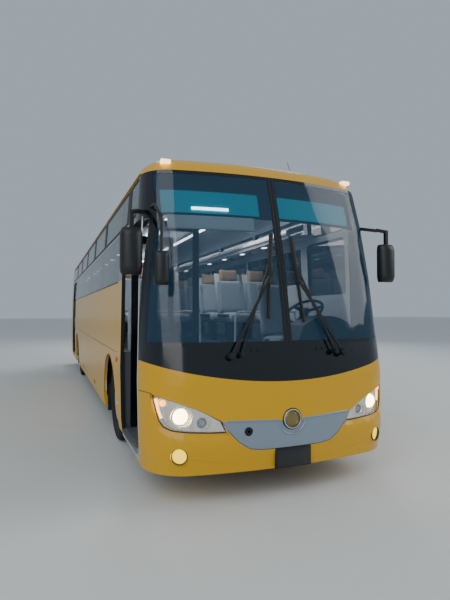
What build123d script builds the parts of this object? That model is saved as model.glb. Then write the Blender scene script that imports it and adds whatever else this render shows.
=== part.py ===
from build123d import *
import math
import os

# Luxury coach, in millimetres. Front is -Y, rear is +Y, +X is the driver's side, -X the door side.
# The origin is on the floor under the middle of the bounding box.
os.makedirs("parts", exist_ok=True)

# Main sizes. Three lengths along the coach make up its overall length of 12 m.
FRONT_OVERHANG = 2500
WHEELBASE = 6500
REAR_OVERHANG = 3000
FRONT_Y = -(FRONT_OVERHANG + WHEELBASE + REAR_OVERHANG) / 2
FRONT_AXLE_Y = FRONT_Y + FRONT_OVERHANG
REAR_AXLE_Y = FRONT_AXLE_Y + WHEELBASE
REAR_Y = REAR_AXLE_Y + REAR_OVERHANG
HALF_WIDTH = 1275
WALL = 40
GLASS = 8
FRONT_ARC = 5000
SKIRT_Z = 320
BELT_Z = 1990
UPPER_SILL_Z = 2560
EAVES_Z = 2960
SCREEN_BOTTOM_Z = 1345
FLOOR_TOP = 1200
FLOOR_THICK = 60
PLATFORM_TOP = 900
MASK_Y = FRONT_Y + 810
TAIL_Y = REAR_Y - 250
MIRROR_REACH = 1455

# Wheels: 295/80 R22.5
TYRE_RADIUS = 522
TYRE_WIDTH = 298
RIM_RADIUS = 286
WHEEL_X = HALF_WIDTH - 235
TWIN_PITCH = 335
KINGPIN_X = WHEEL_X - 240
ARCH_RADIUS = 605
ARCH_Z = 500

# Plan outlines of the body, one row per height. The rear corners are cones, so their radius
# shrinks as much as the width and the tail do.
# height, set in from HALF_WIDTH, nose behind FRONT_Y, front corner radius,
# tail before REAR_Y, rear corner radius, share of the wall thickness that lies upwards
BODY_LEVELS = [
    (SKIRT_Z - 50, 35, 40, 420, 35, 165, 0.0),
    (SKIRT_Z + 160, 13, 0, 440, 13, 187, 0.0),
    (BELT_Z - 960, 0, 4, 450, 0, 200, 0.0),
    (BELT_Z, 13, 180, 400, 13, 187, 0.0),
    (UPPER_SILL_Z, 39, 310, 345, 39, 161, 0.0),
    (EAVES_Z, 71, 425, 320, 71, 129, 0.0),
    (EAVES_Z + 80, 103, 490, 315, 110, 129, 0.4),
    (EAVES_Z + 150, 175, 600, 310, 210, 129, 0.7),
    (EAVES_Z + 200, 315, 760, 300, 380, 129, 0.9),
    (EAVES_Z + 235, 575, 1050, 280, 650, 129, 1.0),
]
CORNER_SHARE = 0.3
ROOF_TOP = BODY_LEVELS[-1][0]

# Ends of the cutters, clear of the body on every side
FAR_FRONT = FRONT_Y - 100
FAR_REAR = REAR_Y + 100
FAR_X = HALF_WIDTH + 125
NEAR_X = HALF_WIDTH - 375
FAR_TOP = ROOF_TOP + 200
UNDER_Z = SKIRT_Z - 120


def block(x0, x1, y0, y1, z0, z1):
    """Box between two corners."""
    size = (abs(x1 - x0), abs(y1 - y0), abs(z1 - z0))
    return Pos((x0 + x1) / 2, (y0 + y1) / 2, (z0 + z1) / 2) * Box(*size)


def in_front(u, v):
    return (u, 0, v)


def in_side(u, v):
    return (0, u, v)


def in_plan(u, v):
    return (u, v, 0)


def outline(rows, place):
    """Closed face. A row is an end point, or an arc's middle point and end point. The last row ends at the start."""
    start = Vector(*place(*rows[-1][-2:]))
    edges = []
    for row in rows:
        end = Vector(*place(*row[-2:]))
        if len(row) == 2:
            edges.append(Edge.make_line(start, end))
        else:
            edges.append(Edge.make_three_point_arc(start, Vector(*place(*row[:2])), end))
        start = end
    return Face(Wire(edges))


def prism(rows, place, first, last):
    """Outline pushed along its normal axis from first to last."""
    axis = {in_front: Vector(0, 1, 0), in_side: Vector(1, 0, 0), in_plan: Vector(0, 0, 1)}[place]
    face = outline(rows, place).moved(Location(axis * first))
    return extrude(face, amount=last - first, dir=axis)


def along_x(x, y, z, radius, length):
    return Pos(x, y, z) * Rot(0, 90, 0) * Cylinder(radius, length)


def along_y(x, y, z, radius, length):
    return Pos(x, y, z) * Rot(90, 0, 0) * Cylinder(radius, length)


def tube_line(points, radius):
    """Round bar swept along straight lengths with mitred corners."""
    path = Polyline(*points)
    direction = Vector(*points[1]) - Vector(*points[0])
    section = Plane(origin=points[0], z_dir=direction) * Circle(radius)
    return sweep(section, path=path, transition=Transition.RIGHT)


def bar(a, b, wide, thick):
    """Flat bar from a to b, its wide side across."""
    place = Plane(origin=(a + b) * 0.5, x_dir=(1, 0, 0), z_dir=(b - a))
    return place * Box(wide, thick, (b - a).length)


def both_sides(shape):
    return shape, mirror(shape, about=Plane.YZ)


def spaced(first, last, count):
    """Places in equal steps from first to last."""
    return [first + (last - first) * i / count for i in range(count + 1)]


def front_corner(half_width, corner, arc):
    """Centre of the corner's arc, and the angle where it meets the front's arc."""
    cx = half_width - corner
    cy = FRONT_Y + FRONT_ARC - math.sqrt((arc - corner) ** 2 - cx**2)
    return cx, cy, math.asin(cx / (arc - corner))


def flat_skin(rows):
    """Closed solid of flat faces through rows of points. A patch of four points that don't lie in one plane is two faces."""
    faces = [Face(Wire.make_polygon(row, close=True)) for row in (rows[0], rows[-1])]
    for low, high in zip(rows, rows[1:]):
        for i in range(len(low)):
            j = (i + 1) % len(low)
            patch = [low[i], low[j], high[j], high[i]]
            normal = (patch[1] - patch[0]).cross(patch[2] - patch[0]).normalized()
            split = [patch] if abs(normal.dot(patch[3] - patch[0])) < 1e-5 else [patch[:3], [patch[0]] + patch[2:]]
            faces += [Face(Wire.make_polygon(corners, close=True)) for corners in split]
    return Solid(Shell(faces))


def plan_wire(level, inset, chords=0):
    """Closed plan outline of one level. Each front corner is three arcs, so that a mesh of it stays light.
    With a number of chords across the front it is points of straight lines, for inner faces behind glass or trim."""
    z, set_in, nose, corner, tail, rear_corner, upward = level
    w = HALF_WIDTH - set_in - inset * (1 - upward * 0.6)
    front = FRONT_Y + nose + inset
    rear = REAR_Y - tail - inset
    r = corner - inset * CORNER_SHARE
    q = rear_corner - inset * 0.9
    arc = FRONT_ARC - nose - inset
    z = z - inset * upward
    cx, cy, meet = front_corner(w, r, arc)
    angles = [meet + (math.pi / 2 - meet) * i / 6 for i in range(7)]
    turn = [(cx + r * math.sin(a), cy - r * math.cos(a), z) for a in angles]
    left_turn = [(-x, y, z) for x, y, z in turn]
    d = q * math.sqrt(0.5)
    if chords:
        middle_y = FRONT_Y + FRONT_ARC
        step = 1 if chords > 4 else 2
        across = [(arc * math.sin(a), middle_y - arc * math.cos(a), z) for a in spaced(-meet, meet, chords)]
        bends = [math.pi / 2 * i / chords for i in range(0, chords + 1, chords // (4 // step))]
        rear_turn = [(w - q + q * math.cos(a), rear - q + q * math.sin(a), z) for a in bends]
        points = across[:-1] + turn[0:6:step] + [turn[6]] + rear_turn
        points += [(-x, y, z) for x, y, z in reversed(rear_turn)] + left_turn[6:0:-step]
        return [Vector(*p) for p in points]
    edges = [Edge.make_three_point_arc(left_turn[0], (0, front, z), turn[0])]
    for i in (0, 2, 4):
        edges.append(Edge.make_three_point_arc(turn[i], turn[i + 1], turn[i + 2]))
    edges += [
        Edge.make_line(turn[6], (w, rear - q, z)),
        Edge.make_three_point_arc((w, rear - q, z), (w - q + d, rear - q + d, z), (w - q, rear, z)),
        Edge.make_line((w - q, rear, z), (q - w, rear, z)),
        Edge.make_three_point_arc((q - w, rear, z), (q - w - d, rear - q + d, z), (-w, rear - q, z)),
        Edge.make_line((-w, rear - q, z), left_turn[6]),
    ]
    for i in (6, 4, 2):
        edges.append(Edge.make_three_point_arc(left_turn[i], left_turn[i - 1], left_turn[i - 2]))
    return Wire(edges)


def body_form(inset, levels, chords=0):
    rows = [plan_wire(level, inset, chords) for level in levels]
    return flat_skin(rows) if chords else Solid.make_loft(rows, ruled=True)


def lowered(levels, drop):
    """The same rows with the first one moved down, so that a cutter runs out of the bottom."""
    first = (levels[0][0] - drop,) + levels[0][1:]
    return [first] + levels[1:]


def table_at(z, column):
    """Value of one column of BODY_LEVELS at a height between two rows."""
    for a, b in zip(BODY_LEVELS, BODY_LEVELS[1:]):
        if a[0] <= z <= b[0]:
            return a[column] + (b[column] - a[column]) * (z - a[0]) / (b[0] - a[0])


def width_at(z):
    return HALF_WIDTH - table_at(z, 1)


def tail_at(z):
    return REAR_Y - table_at(z, 4)


def front_y(x, z, inset=0):
    """The body's front face at x and z, or the face that lies inset behind it."""
    arc = FRONT_ARC - table_at(z, 2) - inset
    corner = table_at(z, 3) - inset * CORNER_SHARE
    cx, cy, meet = front_corner(width_at(z) - inset, corner, arc)
    if abs(x) < arc * math.sin(meet):
        return FRONT_Y + FRONT_ARC - math.sqrt(arc**2 - x**2)
    return cy - math.sqrt(corner**2 - (abs(x) - cx) ** 2)


outer = body_form(0, BODY_LEVELS)
under_glass = body_form(GLASS, lowered(BODY_LEVELS, 60), chords=12)
inner = body_form(WALL, lowered(BODY_LEVELS, 60), chords=4)

nodes = {}

# Doorways: first y, last y, lowest z, name
ARCH_FOOT = 290
DOOR_TOP = UPPER_SILL_Z - 60
POST_X = HALF_WIDTH - 125
POST_INSET = 40
LEAF_THICK = 34
LEAF_UNDER = 38
LEAF_OVER = 14
LEAF_PLAY = 12
TREAD_DROP = 20
PIN_R = 10
PIN_PLAY = 0.3
PIN_DEPTH = 15
DOORWAYS = [
    (FRONT_Y + 520, FRONT_AXLE_Y - ARCH_RADIUS - ARCH_FOOT - 75, SKIRT_Z + 40, "front_door"),
    (REAR_AXLE_Y + ARCH_RADIUS + 295, REAR_Y - 850, SKIRT_Z + 110, "rear_door"),
]
FRONT_DOOR_Y = DOORWAYS[0][0]
FRONT_DOOR_END = DOORWAYS[0][1]
REAR_DOOR_Y = DOORWAYS[1][0]

# Regions of the shell. Below the doorway the sill belongs to the side wall.
mask_region = block(-FAR_X, FAR_X, FAR_FRONT, MASK_Y, UNDER_Z, EAVES_Z)
side_region = block(NEAR_X, FAR_X, MASK_Y, TAIL_Y, SKIRT_Z, EAVES_Z)
sill_region = block(NEAR_X, FAR_X, FRONT_DOOR_Y, MASK_Y, SKIRT_Z, DOORWAYS[0][2])
tail_region = block(-FAR_X, FAR_X, TAIL_Y, FAR_REAR, SKIRT_Z, EAVES_Z)
roof_region = block(-FAR_X, FAR_X, FAR_FRONT, FAR_REAR, EAVES_Z, FAR_TOP)

shell = outer - inner
skin = outer - under_glass
mask_shell = shell & mask_region
mask_skin = skin & mask_region
side_shell = shell & side_region
side_skin = skin & side_region
tail_shell = shell & tail_region
tail_skin = skin & tail_region

# Luggage flaps: first y, last y
FLAP_TOP = 1165
FLAP_GAP = 6
FLAP_FIRST = FRONT_AXLE_Y + ARCH_RADIUS + 215
FLAP_LAST = REAR_AXLE_Y - ARCH_RADIUS - 405
FLAP_BREAK = 30
FLAP_LENGTH = (FLAP_LAST - FLAP_FIRST - FLAP_BREAK) / 2
FLAPS = [(FLAP_FIRST, FLAP_FIRST + FLAP_LENGTH), (FLAP_LAST - FLAP_LENGTH, FLAP_LAST)]
HINGE_R = 5.35
HINGE_RISE = 0.35

# Side windows. Bonded panes in two bands: they meet at these places, over pillars of the wall.
PANE_JOINT = 4
PILLAR_WIDTH = 90
BAND_TOP = UPPER_SILL_Z - 35
BAND_PLACES = spaced(FRONT_Y + 1810, REAR_Y - 990, 5)
BAND_END_RIGHT = REAR_DOOR_Y - 110
BAND_END_LEFT = TAIL_Y - 190
UPPER_TOP = EAVES_Z - 35
UPPER_PLACES = spaced(FRONT_Y + 1700, REAR_Y - 700, 6)
# first y, last y, lowest z, highest z
DRIVER_WINDOW = (FRONT_Y + 880, UPPER_PLACES[0], BELT_Z - 140, BAND_TOP)


def arch_cut(axle_y, ahead):
    """Wheel arch through the side, open at the bottom. ahead is how far its foot runs forward."""
    r = ARCH_RADIUS
    rows = [
        (axle_y - r - ahead, UNDER_Z - 50),
        (axle_y - r, ARCH_Z),
        (axle_y, ARCH_Z + r, axle_y + r, ARCH_Z),
        (axle_y + r, UNDER_Z - 50),
    ]
    return prism(rows, in_side, NEAR_X - 200, FAR_X)


def rounded_window(y0, y1, z0, z1, r):
    k = r * (1 - math.sqrt(0.5))
    rows = [
        (y1 - r, z0),
        (y1 - k, z0 + k, y1, z0 + r),
        (y1, z1 - r),
        (y1 - k, z1 - k, y1 - r, z1),
        (y0 + r, z1),
        (y0 + k, z1 - k, y0, z1 - r),
        (y0, z0 + r),
        (y0 + k, z0 + k, y0 + r, z0),
    ]
    return prism(rows, in_side, NEAR_X, FAR_X)


def glazed(wall, places, z0, z1, frame):
    """The wall with a band of bonded panes: a rebate in its skin and an opening behind each pane."""
    wall = wall - (side_skin & block(NEAR_X, FAR_X, places[0], places[-1], z0, z1))
    panes = []
    for y0, y1 in zip(places, places[1:]):
        half = PILLAR_WIDTH / 2
        wall = wall - block(NEAR_X, FAR_X, y0 + half, y1 - half, z0 + frame, z1 - frame)
        pane = block(NEAR_X, FAR_X, y0 + PANE_JOINT / 2, y1 - PANE_JOINT / 2, z0, z1)
        panes.append(side_skin & pane)
    return wall, panes


def side_wall(door_side):
    """Wall and panes of one side, made on +X. The caller mirrors them for the door side."""
    wall = side_shell
    band_end = BAND_END_RIGHT if door_side else BAND_END_LEFT
    lower_places = [y for y in BAND_PLACES if y < band_end - 300] + [band_end]
    wall, panes = glazed(wall, lower_places, BELT_Z, BAND_TOP, 30)
    wall, upper_panes = glazed(wall, [MASK_Y + 40] + UPPER_PLACES, UPPER_SILL_Z + 15, UPPER_TOP, 25)
    panes += upper_panes
    if not door_side:
        cut = rounded_window(*DRIVER_WINDOW, 60)
        wall = wall - cut
        panes.append(side_skin & cut)
    wall = wall - arch_cut(FRONT_AXLE_Y, ARCH_FOOT)
    wall = wall - arch_cut(REAR_AXLE_Y, 60)
    for y0, y1 in FLAPS:
        wall = wall - block(NEAR_X, FAR_X, y0 - FLAP_GAP, y1 + FLAP_GAP, UNDER_Z, FLAP_TOP + FLAP_GAP)
    if door_side:
        wall = wall + (shell & sill_region)
        for y0, y1, z0, name in DOORWAYS:
            wall = wall - block(NEAR_X, FAR_X, y0, y1, z0, DOOR_TOP)
            header = block(POST_X - 35, FAR_X, y0 - 15, y1 + 15, DOOR_TOP, DOOR_TOP + 50) & inner
            for y in (y0 + POST_INSET, y1 - POST_INSET):
                header = header - Pos(POST_X, y, DOOR_TOP) * Cylinder(PIN_R + PIN_PLAY, 2 * (PIN_DEPTH + 1))
            wall = wall + header
    return wall, panes


wall_left, panes_left = side_wall(False)
wall_right, panes_right = side_wall(True)
nodes["side_wall_left"] = wall_left
nodes["side_wall_right"] = mirror(wall_right, about=Plane.YZ)

# Luggage flaps, each with the barrel of its hinge along the top and the pocket of its latch below
LATCH_Z = SKIRT_Z + 145
for number, (y0, y1) in enumerate(FLAPS, start=1):
    shape = side_shell & block(NEAR_X, FAR_X, y0, y1, UNDER_Z, FLAP_TOP)
    middle = (y0 + y1) / 2
    latch_x = width_at(LATCH_Z) - 7
    shape = shape - block(latch_x, FAR_X, middle - 60, middle + 60, LATCH_Z - 24, LATCH_Z + 24)
    shape = shape + along_y(width_at(FLAP_TOP), middle, FLAP_TOP + HINGE_RISE, HINGE_R, y1 - y0 - 20)
    nodes[f"flap_left_{number}"] = shape
    nodes[f"flap_right_{number}"] = mirror(shape, about=Plane.YZ)

nodes["roof_shell"] = shell & roof_region

# Rear wall, its window, its lamps and the engine lid
# first x, last x, lowest z, highest z
LID = (-900, 900, SKIRT_Z + 240, SKIRT_Z + 1120)
REAR_GLASS = (-980, 980, BELT_Z - 210, UPPER_SILL_Z + 160)
TAIL_CUT_Y = REAR_Y - 200
lid_block = block(LID[0], LID[1], TAIL_CUT_Y, FAR_REAR, LID[2], LID[3])
lid_hole = block(LID[0] - FLAP_GAP, LID[1] + FLAP_GAP, TAIL_CUT_Y, FAR_REAR, LID[2] - FLAP_GAP, LID[3] + FLAP_GAP)
glass_hole = block(REAR_GLASS[0], REAR_GLASS[1], TAIL_CUT_Y, FAR_REAR, REAR_GLASS[2], REAR_GLASS[3])
rear_wall = tail_shell - lid_hole - glass_hole
engine_lid = tail_shell & lid_block
engine_lid = engine_lid + along_x(0, tail_at(LID[3]), LID[3] + HINGE_RISE, HINGE_R, LID[1] - LID[0] - 20)
SLOT_COUNT = 9
for slot_z in spaced(LID[2] + 180, LID[2] + 740, SLOT_COUNT - 1):
    engine_lid = engine_lid - block(-620, 620, TAIL_CUT_Y, FAR_REAR, slot_z, slot_z + 28)
nodes["engine_lid"] = engine_lid

# Tail lamps: lowest z, highest z of a stack on each side
TAIL_LAMPS = [(900, 1030), (1045, 1175), (1190, 1320)]
LAMP_IN = 265
LAMP_WIDE = 120
tail_lamp_solids = []
for z0, z1 in TAIL_LAMPS:
    place = block(HALF_WIDTH - LAMP_IN, HALF_WIDTH - LAMP_IN + LAMP_WIDE, TAIL_CUT_Y, FAR_REAR, z0, z1)
    for cut in both_sides(place):
        tail_lamp_solids.append(rear_wall & cut)
        rear_wall = rear_wall - cut
nodes["rear_wall"] = rear_wall

all_panes = panes_left + [mirror(p, about=Plane.YZ) for p in panes_right] + [tail_skin & glass_hole]
nodes["body_windows"] = Compound(all_panes)

# Windscreen in two halves. Its side edge leans back with height.
PILLAR_FOOT_Y = FRONT_Y + 430
pillar_rows = [
    (FAR_FRONT, SCREEN_BOTTOM_Z),
    (PILLAR_FOOT_Y, SCREEN_BOTTOM_Z),
    (FRONT_Y + 495, DOOR_TOP),
    (FRONT_Y + 670, EAVES_Z),
    (FAR_FRONT, EAVES_Z),
]
screen_zone = prism(pillar_rows, in_side, -FAR_X, FAR_X)
DIVIDER = 36
divider_zone = block(-DIVIDER / 2, DIVIDER / 2, FAR_FRONT, MASK_Y, SCREEN_BOTTOM_Z, EAVES_Z)
nodes["windscreens"] = (mask_skin & screen_zone) - divider_zone

# Dark panel under the screen, with the screen's middle bar and a shallow crescent
SCUTTLE_MIDDLE_Z = SCREEN_BOTTOM_Z - 315
SCUTTLE_SIDE_Z = SCREEN_BOTTOM_Z - 133
SCUTTLE_X = HALF_WIDTH - 13
scuttle_rows = [
    (SCUTTLE_X, SCREEN_BOTTOM_Z),
    (-SCUTTLE_X, SCREEN_BOTTOM_Z),
    (-SCUTTLE_X, SCUTTLE_SIDE_Z),
    (0, SCUTTLE_MIDDLE_Z, SCUTTLE_X, SCUTTLE_SIDE_Z),
]
scuttle_zone = prism(scuttle_rows, in_front, FAR_FRONT, PILLAR_FOOT_Y)
crescent_rows = [
    (0, SCUTTLE_MIDDLE_Z + 24, 620, SCUTTLE_MIDDLE_Z + 62),
    (0, SCUTTLE_MIDDLE_Z + 108, -620, SCUTTLE_MIDDLE_Z + 62),
]
crescent = prism(crescent_rows, in_front, FAR_FRONT, PILLAR_FOOT_Y)
nodes["scuttle_panel"] = (mask_shell & scuttle_zone) + (mask_shell & divider_zone) - (mask_skin & crescent)

# Silver panel between the lamps, with the round boss and recess of the emblem
SILVER_TOP_X = 645
silver_rows = [
    (-600, 640, -500, 535),
    (-400, 470, -270, 452),
    (270, 452),
    (400, 470, 500, 535),
    (600, 640, SILVER_TOP_X, 715),
    (0, 690, -SILVER_TOP_X, 715),
]
EMBLEM_Z = 697
EMBLEM_RADIUS = 92
EMBLEM_RIM = 14
HALO_RADIUS = EMBLEM_RADIUS + 50
TOW_HOLE_X = 414
TOW_HOLE_Z = 618
TOW_HOLE_R = 32
TOW_R = 14
TOW_LENGTH = 110
mask_mid_y = FRONT_Y + 100
silver_zone = prism(silver_rows, in_front, FAR_FRONT, FRONT_Y + 300)
silver_zone = silver_zone + along_y(0, mask_mid_y, EMBLEM_Z, EMBLEM_RADIUS, 400)
halo = along_y(0, mask_mid_y, EMBLEM_Z, HALO_RADIUS, 400) - along_y(0, mask_mid_y, EMBLEM_Z, EMBLEM_RADIUS, 400)
emblem_recess = along_y(0, mask_mid_y, EMBLEM_Z, EMBLEM_RADIUS - EMBLEM_RIM, 400)
shallow = outer - body_form(5, lowered(BODY_LEVELS[:4], 60))
silver_panel = mask_shell & silver_zone
silver_panel = silver_panel - (mask_skin & emblem_recess) - (shallow & halo)
nodes["silver_panel"] = silver_panel - along_y(-TOW_HOLE_X, mask_mid_y, TOW_HOLE_Z, TOW_HOLE_R, 400)

# Head lamp seen from the front, and the ridge round the channel that it lies in.
# lamp in from the side, lamp height, ridge in from the side, ridge height
LAMP_ROWS = [
    (685, 612, 695, 585),
    (635, 711, 635, 711),
    (513, 778, 513, 778),
    (397, 836, 397, 836),
    (276, 878, 276, 878),
    (174, 913, 174, 913),
    (88, 938, 60, 950),
    (96, 872, 70, 896),
    (111, 800, 79, 808),
    (127, 730, 90, 721),
    (161, 678, 120, 652),
    (224, 650, 188, 595),
    (329, 636, 291, 570),
    (441, 627, 428, 555),
    (559, 620, 577, 541),
]
LAMP_DEPTH = 30
LAMP_BACK = 150
lamp_outline = [(HALF_WIDTH - row[0], row[1]) for row in LAMP_ROWS]
lamp_prism = prism(lamp_outline, in_front, FAR_FRONT, FRONT_Y + 440) - silver_zone
low_levels = lowered(BODY_LEVELS[:4], 60)
lens_face = body_form(LAMP_DEPTH, low_levels)
lens_back = body_form(LAMP_DEPTH + 6, low_levels, chords=12)
lamp_deep = body_form(LAMP_BACK, low_levels, chords=12)


def lamp_channel():
    """Cutter whose sides slope from the ridge on the skin down to the lamp's outline."""
    loops = [
        [(HALF_WIDTH - row[2], FAR_FRONT, row[3]) for row in LAMP_ROWS],
        [(HALF_WIDTH - row[2], front_y(HALF_WIDTH - row[2], row[3]) - 3, row[3]) for row in LAMP_ROWS],
        [(HALF_WIDTH - row[0], front_y(HALF_WIDTH - row[0], row[1], LAMP_DEPTH - 4), row[1]) for row in LAMP_ROWS],
        [(HALF_WIDTH - row[0], FRONT_Y + 440, row[1]) for row in LAMP_ROWS],
    ]
    wires = [Wire.make_polygon([Vector(*p) for p in loop], close=True) for loop in loops]
    return Solid.make_loft(wires, ruled=True)


channel_left, channel_right = both_sides(lamp_channel())

# The seam between the upper panel and the bumper runs along the top of the lamps
seam_side = [(HALF_WIDTH - row[0], row[1]) for row in LAMP_ROWS[1:7]]
seam_rows = [(FAR_X, LAMP_ROWS[6][1] + 12), (FAR_X, UNDER_Z), (-FAR_X, UNDER_Z), (-FAR_X, LAMP_ROWS[6][1] + 12)]
seam_rows += [(-x, z) for x, z in reversed(seam_side)] + [(-500, 640), (500, 640)] + seam_side
below_seam = prism(seam_rows, in_front, FAR_FRONT, MASK_Y)

# Fog lamps: in from the side, height, radius of the hole, radius of the lamp
FOG = (275, 440, 66, 66)
fog_solids = []
fog_holes = []
for side in (1, -1):
    x = side * (HALF_WIDTH - FOG[0])
    fog_holes.append(along_y(x, FRONT_Y + 200, FOG[1], FOG[2], 600))
    fog_solids.append((under_glass & mask_region & along_y(x, FRONT_Y + 200, FOG[1], FOG[3], 600)) - lamp_deep)

door_front_cut = block(-FAR_X, -NEAR_X, FRONT_DOOR_Y, FRONT_DOOR_END, DOORWAYS[0][2], DOOR_TOP)
sill_right = block(-FAR_X, -NEAR_X, FRONT_DOOR_Y, MASK_Y, SKIRT_Z, DOORWAYS[0][2])
rest = mask_shell - screen_zone - scuttle_zone - door_front_cut - sill_right - divider_zone
bumper = (rest & below_seam) - silver_zone - channel_left - channel_right
for hole in fog_holes:
    bumper = bumper - hole
nodes["front_bumper"] = bumper
front_panel = (rest - below_seam) - silver_zone
pin_hole = Pos(-POST_X, FRONT_DOOR_Y + POST_INSET, DOOR_TOP) * Cylinder(PIN_R + PIN_PLAY, 2 * (PIN_DEPTH + 1))
nodes["front_panel"] = front_panel - pin_hole

# Head lamps: clear lens at the bottom of the channel, body with bowls behind it
# bowl's distance in from the side, height, radius, depth
BOWLS = [(301, 755, 84, 90), (477, 698, 56, 80), (163, 868, 36, 60)]
lamp_body = (lens_back & lamp_prism) - lamp_deep
lamp_lens = (lens_face - lens_back) & lamp_prism
for x_in, z, r, depth in BOWLS:
    x = HALF_WIDTH - x_in
    lamp_body = lamp_body - along_y(x, front_y(x, z, LAMP_DEPTH), z, r, 2 * depth)
nodes["headlamp_bodies"] = Compound(list(both_sides(lamp_body)))
nodes["headlamp_lenses"] = Compound(list(both_sides(lamp_lens)))

# Small lamps: fog lamps, roof marker lamps and tail lamps
MARKER_X = HALF_WIDTH - 269
MARKER_Z = EAVES_Z + 92
marker_solids = []
for side in (1, -1):
    marker = Pos(side * MARKER_X, FRONT_Y + 604, MARKER_Z) * Box(90, 60, 34)
    marker_solids.append(marker - outer)
nodes["small_lamps"] = Compound(fog_solids + marker_solids + tail_lamp_solids)

# Floor with the driver's platform, and the luggage hold under it
DECK_X = HALF_WIDTH + 25
HOLD_FLOOR = SKIRT_Z + 110
HOLD_FRONT = FRONT_AXLE_Y + ARCH_RADIUS + 155
HOLD_REAR = REAR_AXLE_Y - ARCH_RADIUS - 345
HOLD_X = HALF_WIDTH - 105
KINK_Y = FRONT_AXLE_Y - 650
PLATFORM_FRONT = FRONT_Y + 440
FLOOR_UNDER = FLOOR_TOP - FLOOR_THICK
# tread height, outer x, inner x, from the lowest tread up
STAIRS_FRONT = [(DOORWAYS[0][2] + TREAD_DROP, DECK_X, 640), (640, 640, 460)]
STAIRS_REAR = [(DOORWAYS[1][2] + TREAD_DROP, DECK_X, 530), (700, 530, 360), (950, 360, 200)]
PLATE = 20
TREAD = 30


def stairwell(first, last, rows, front_top, rear_top, inner_top):
    """Treads, risers and the two cheeks of one doorway, with holes for the pins of its leaves."""
    end_x = rows[-1][2]
    low = rows[0][0] - TREAD
    shape = block(-DECK_X, -end_x, first - 2 * PLATE, first - PLATE, low, front_top)
    shape = shape + block(-DECK_X, -end_x, last + PLATE, last + 2 * PLATE, low, rear_top)
    for number, (z, outer_x, inner_x) in enumerate(rows):
        top = rows[number + 1][0] if number + 1 < len(rows) else inner_top
        shape = shape + block(-outer_x, -inner_x, first - PLATE, last + PLATE, z - TREAD, z)
        shape = shape + block(-inner_x - PLATE, -inner_x, first - PLATE, last + PLATE, z - TREAD, top)
    for y in (first + POST_INSET, last - POST_INSET):
        shape = shape - Pos(-POST_X, y, rows[0][0]) * Cylinder(PIN_R + PIN_PLAY, 2 * (PIN_DEPTH + 1))
    return shape & inner


y0, y1 = DOORWAYS[0][:2]
steps_front = stairwell(y0, y1, STAIRS_FRONT, PLATFORM_TOP, FLOOR_TOP, PLATFORM_TOP)
y0, y1 = DOORWAYS[1][:2]
steps_rear = stairwell(y0, y1, STAIRS_REAR, FLOOR_TOP, FLOOR_TOP, FLOOR_TOP)
nodes["entrance_steps"] = Compound([steps_front, steps_rear])

deck = block(-DECK_X, DECK_X, KINK_Y, REAR_Y - 100, FLOOR_UNDER, FLOOR_TOP)
deck = deck + block(-DECK_X, DECK_X, KINK_Y - WALL, KINK_Y, PLATFORM_TOP - 40, FLOOR_TOP)
deck = deck + block(-DECK_X, DECK_X, PLATFORM_FRONT, KINK_Y, PLATFORM_TOP - 40, PLATFORM_TOP)
deck = deck + block(-DECK_X, -STAIRS_FRONT[-1][2], FRONT_DOOR_END + 2 * PLATE, KINK_Y, FLOOR_UNDER, FLOOR_TOP)
for (y0, y1, z0, name), rows in zip(DOORWAYS, (STAIRS_FRONT, STAIRS_REAR)):
    deck = deck - block(-DECK_X - 10, -rows[-1][2], y0 - 2 * PLATE, y1 + 2 * PLATE, UNDER_Z, FLOOR_TOP + 10)
deck = deck - block(-DECK_X - 10, -STAIRS_FRONT[-1][2], FRONT_Y, FRONT_DOOR_Y, UNDER_Z, FLOOR_TOP + 10)
deck = deck + block(-HOLD_X, HOLD_X, HOLD_FRONT, HOLD_REAR, HOLD_FLOOR - TREAD, HOLD_FLOOR)
for y in (HOLD_FRONT - 25, HOLD_REAR):
    deck = deck + block(-HOLD_X, HOLD_X, y, y + 25, HOLD_FLOOR - TREAD, FLOOR_UNDER)
nodes["floor_deck"] = deck & inner

# Chassis: rails that drop under the hold, with cross members
RAIL_X = 400
RAIL_W = 80
HIGH_RAIL = (860, 1040)
FRONT_RAIL = (620, 800)
LOW_RAIL = (SKIRT_Z - 20, SKIRT_Z + 75)
RAIL_NOSE = FRONT_Y + 550
RAIL_TAIL = REAR_DOOR_Y - 2 * PLATE
BEAM = 80
inside_x = RAIL_X - RAIL_W / 2
chassis = block(-inside_x, inside_x, RAIL_TAIL - BEAM, RAIL_TAIL, *HIGH_RAIL)
for side in (1, -1):
    x0 = side * RAIL_X - RAIL_W / 2
    x1 = side * RAIL_X + RAIL_W / 2
    chassis = chassis + block(x0, x1, KINK_Y, HOLD_FRONT - 30, *HIGH_RAIL)
    chassis = chassis + block(x0, x1, RAIL_NOSE, KINK_Y + BEAM, *FRONT_RAIL)
    chassis = chassis + block(x0, x1, KINK_Y, KINK_Y + BEAM, FRONT_RAIL[0], HIGH_RAIL[1])
    chassis = chassis + block(x0, x1, HOLD_FRONT - 30 - BEAM, HOLD_FRONT - 30, LOW_RAIL[0], HIGH_RAIL[1])
    chassis = chassis + block(x0, x1, HOLD_FRONT - 30 - BEAM, HOLD_REAR + 30 + BEAM, *LOW_RAIL)
    chassis = chassis + block(x0, x1, HOLD_REAR + 30, HOLD_REAR + 30 + BEAM, LOW_RAIL[0], HIGH_RAIL[1])
    chassis = chassis + block(x0, x1, HOLD_REAR + 30, RAIL_TAIL, *HIGH_RAIL)
for y in (FRONT_AXLE_Y - 400, FRONT_AXLE_Y + 450, REAR_AXLE_Y - 800):
    chassis = chassis + block(-inside_x, inside_x, y - 30, y + 30, *HIGH_RAIL)
for y in spaced(HOLD_FRONT + 240, HOLD_REAR - 150, 4):
    chassis = chassis + block(-HOLD_X + 20, HOLD_X - 20, y - 30, y + 30, LOW_RAIL[0] + 20, HOLD_FLOOR - TREAD)
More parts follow.
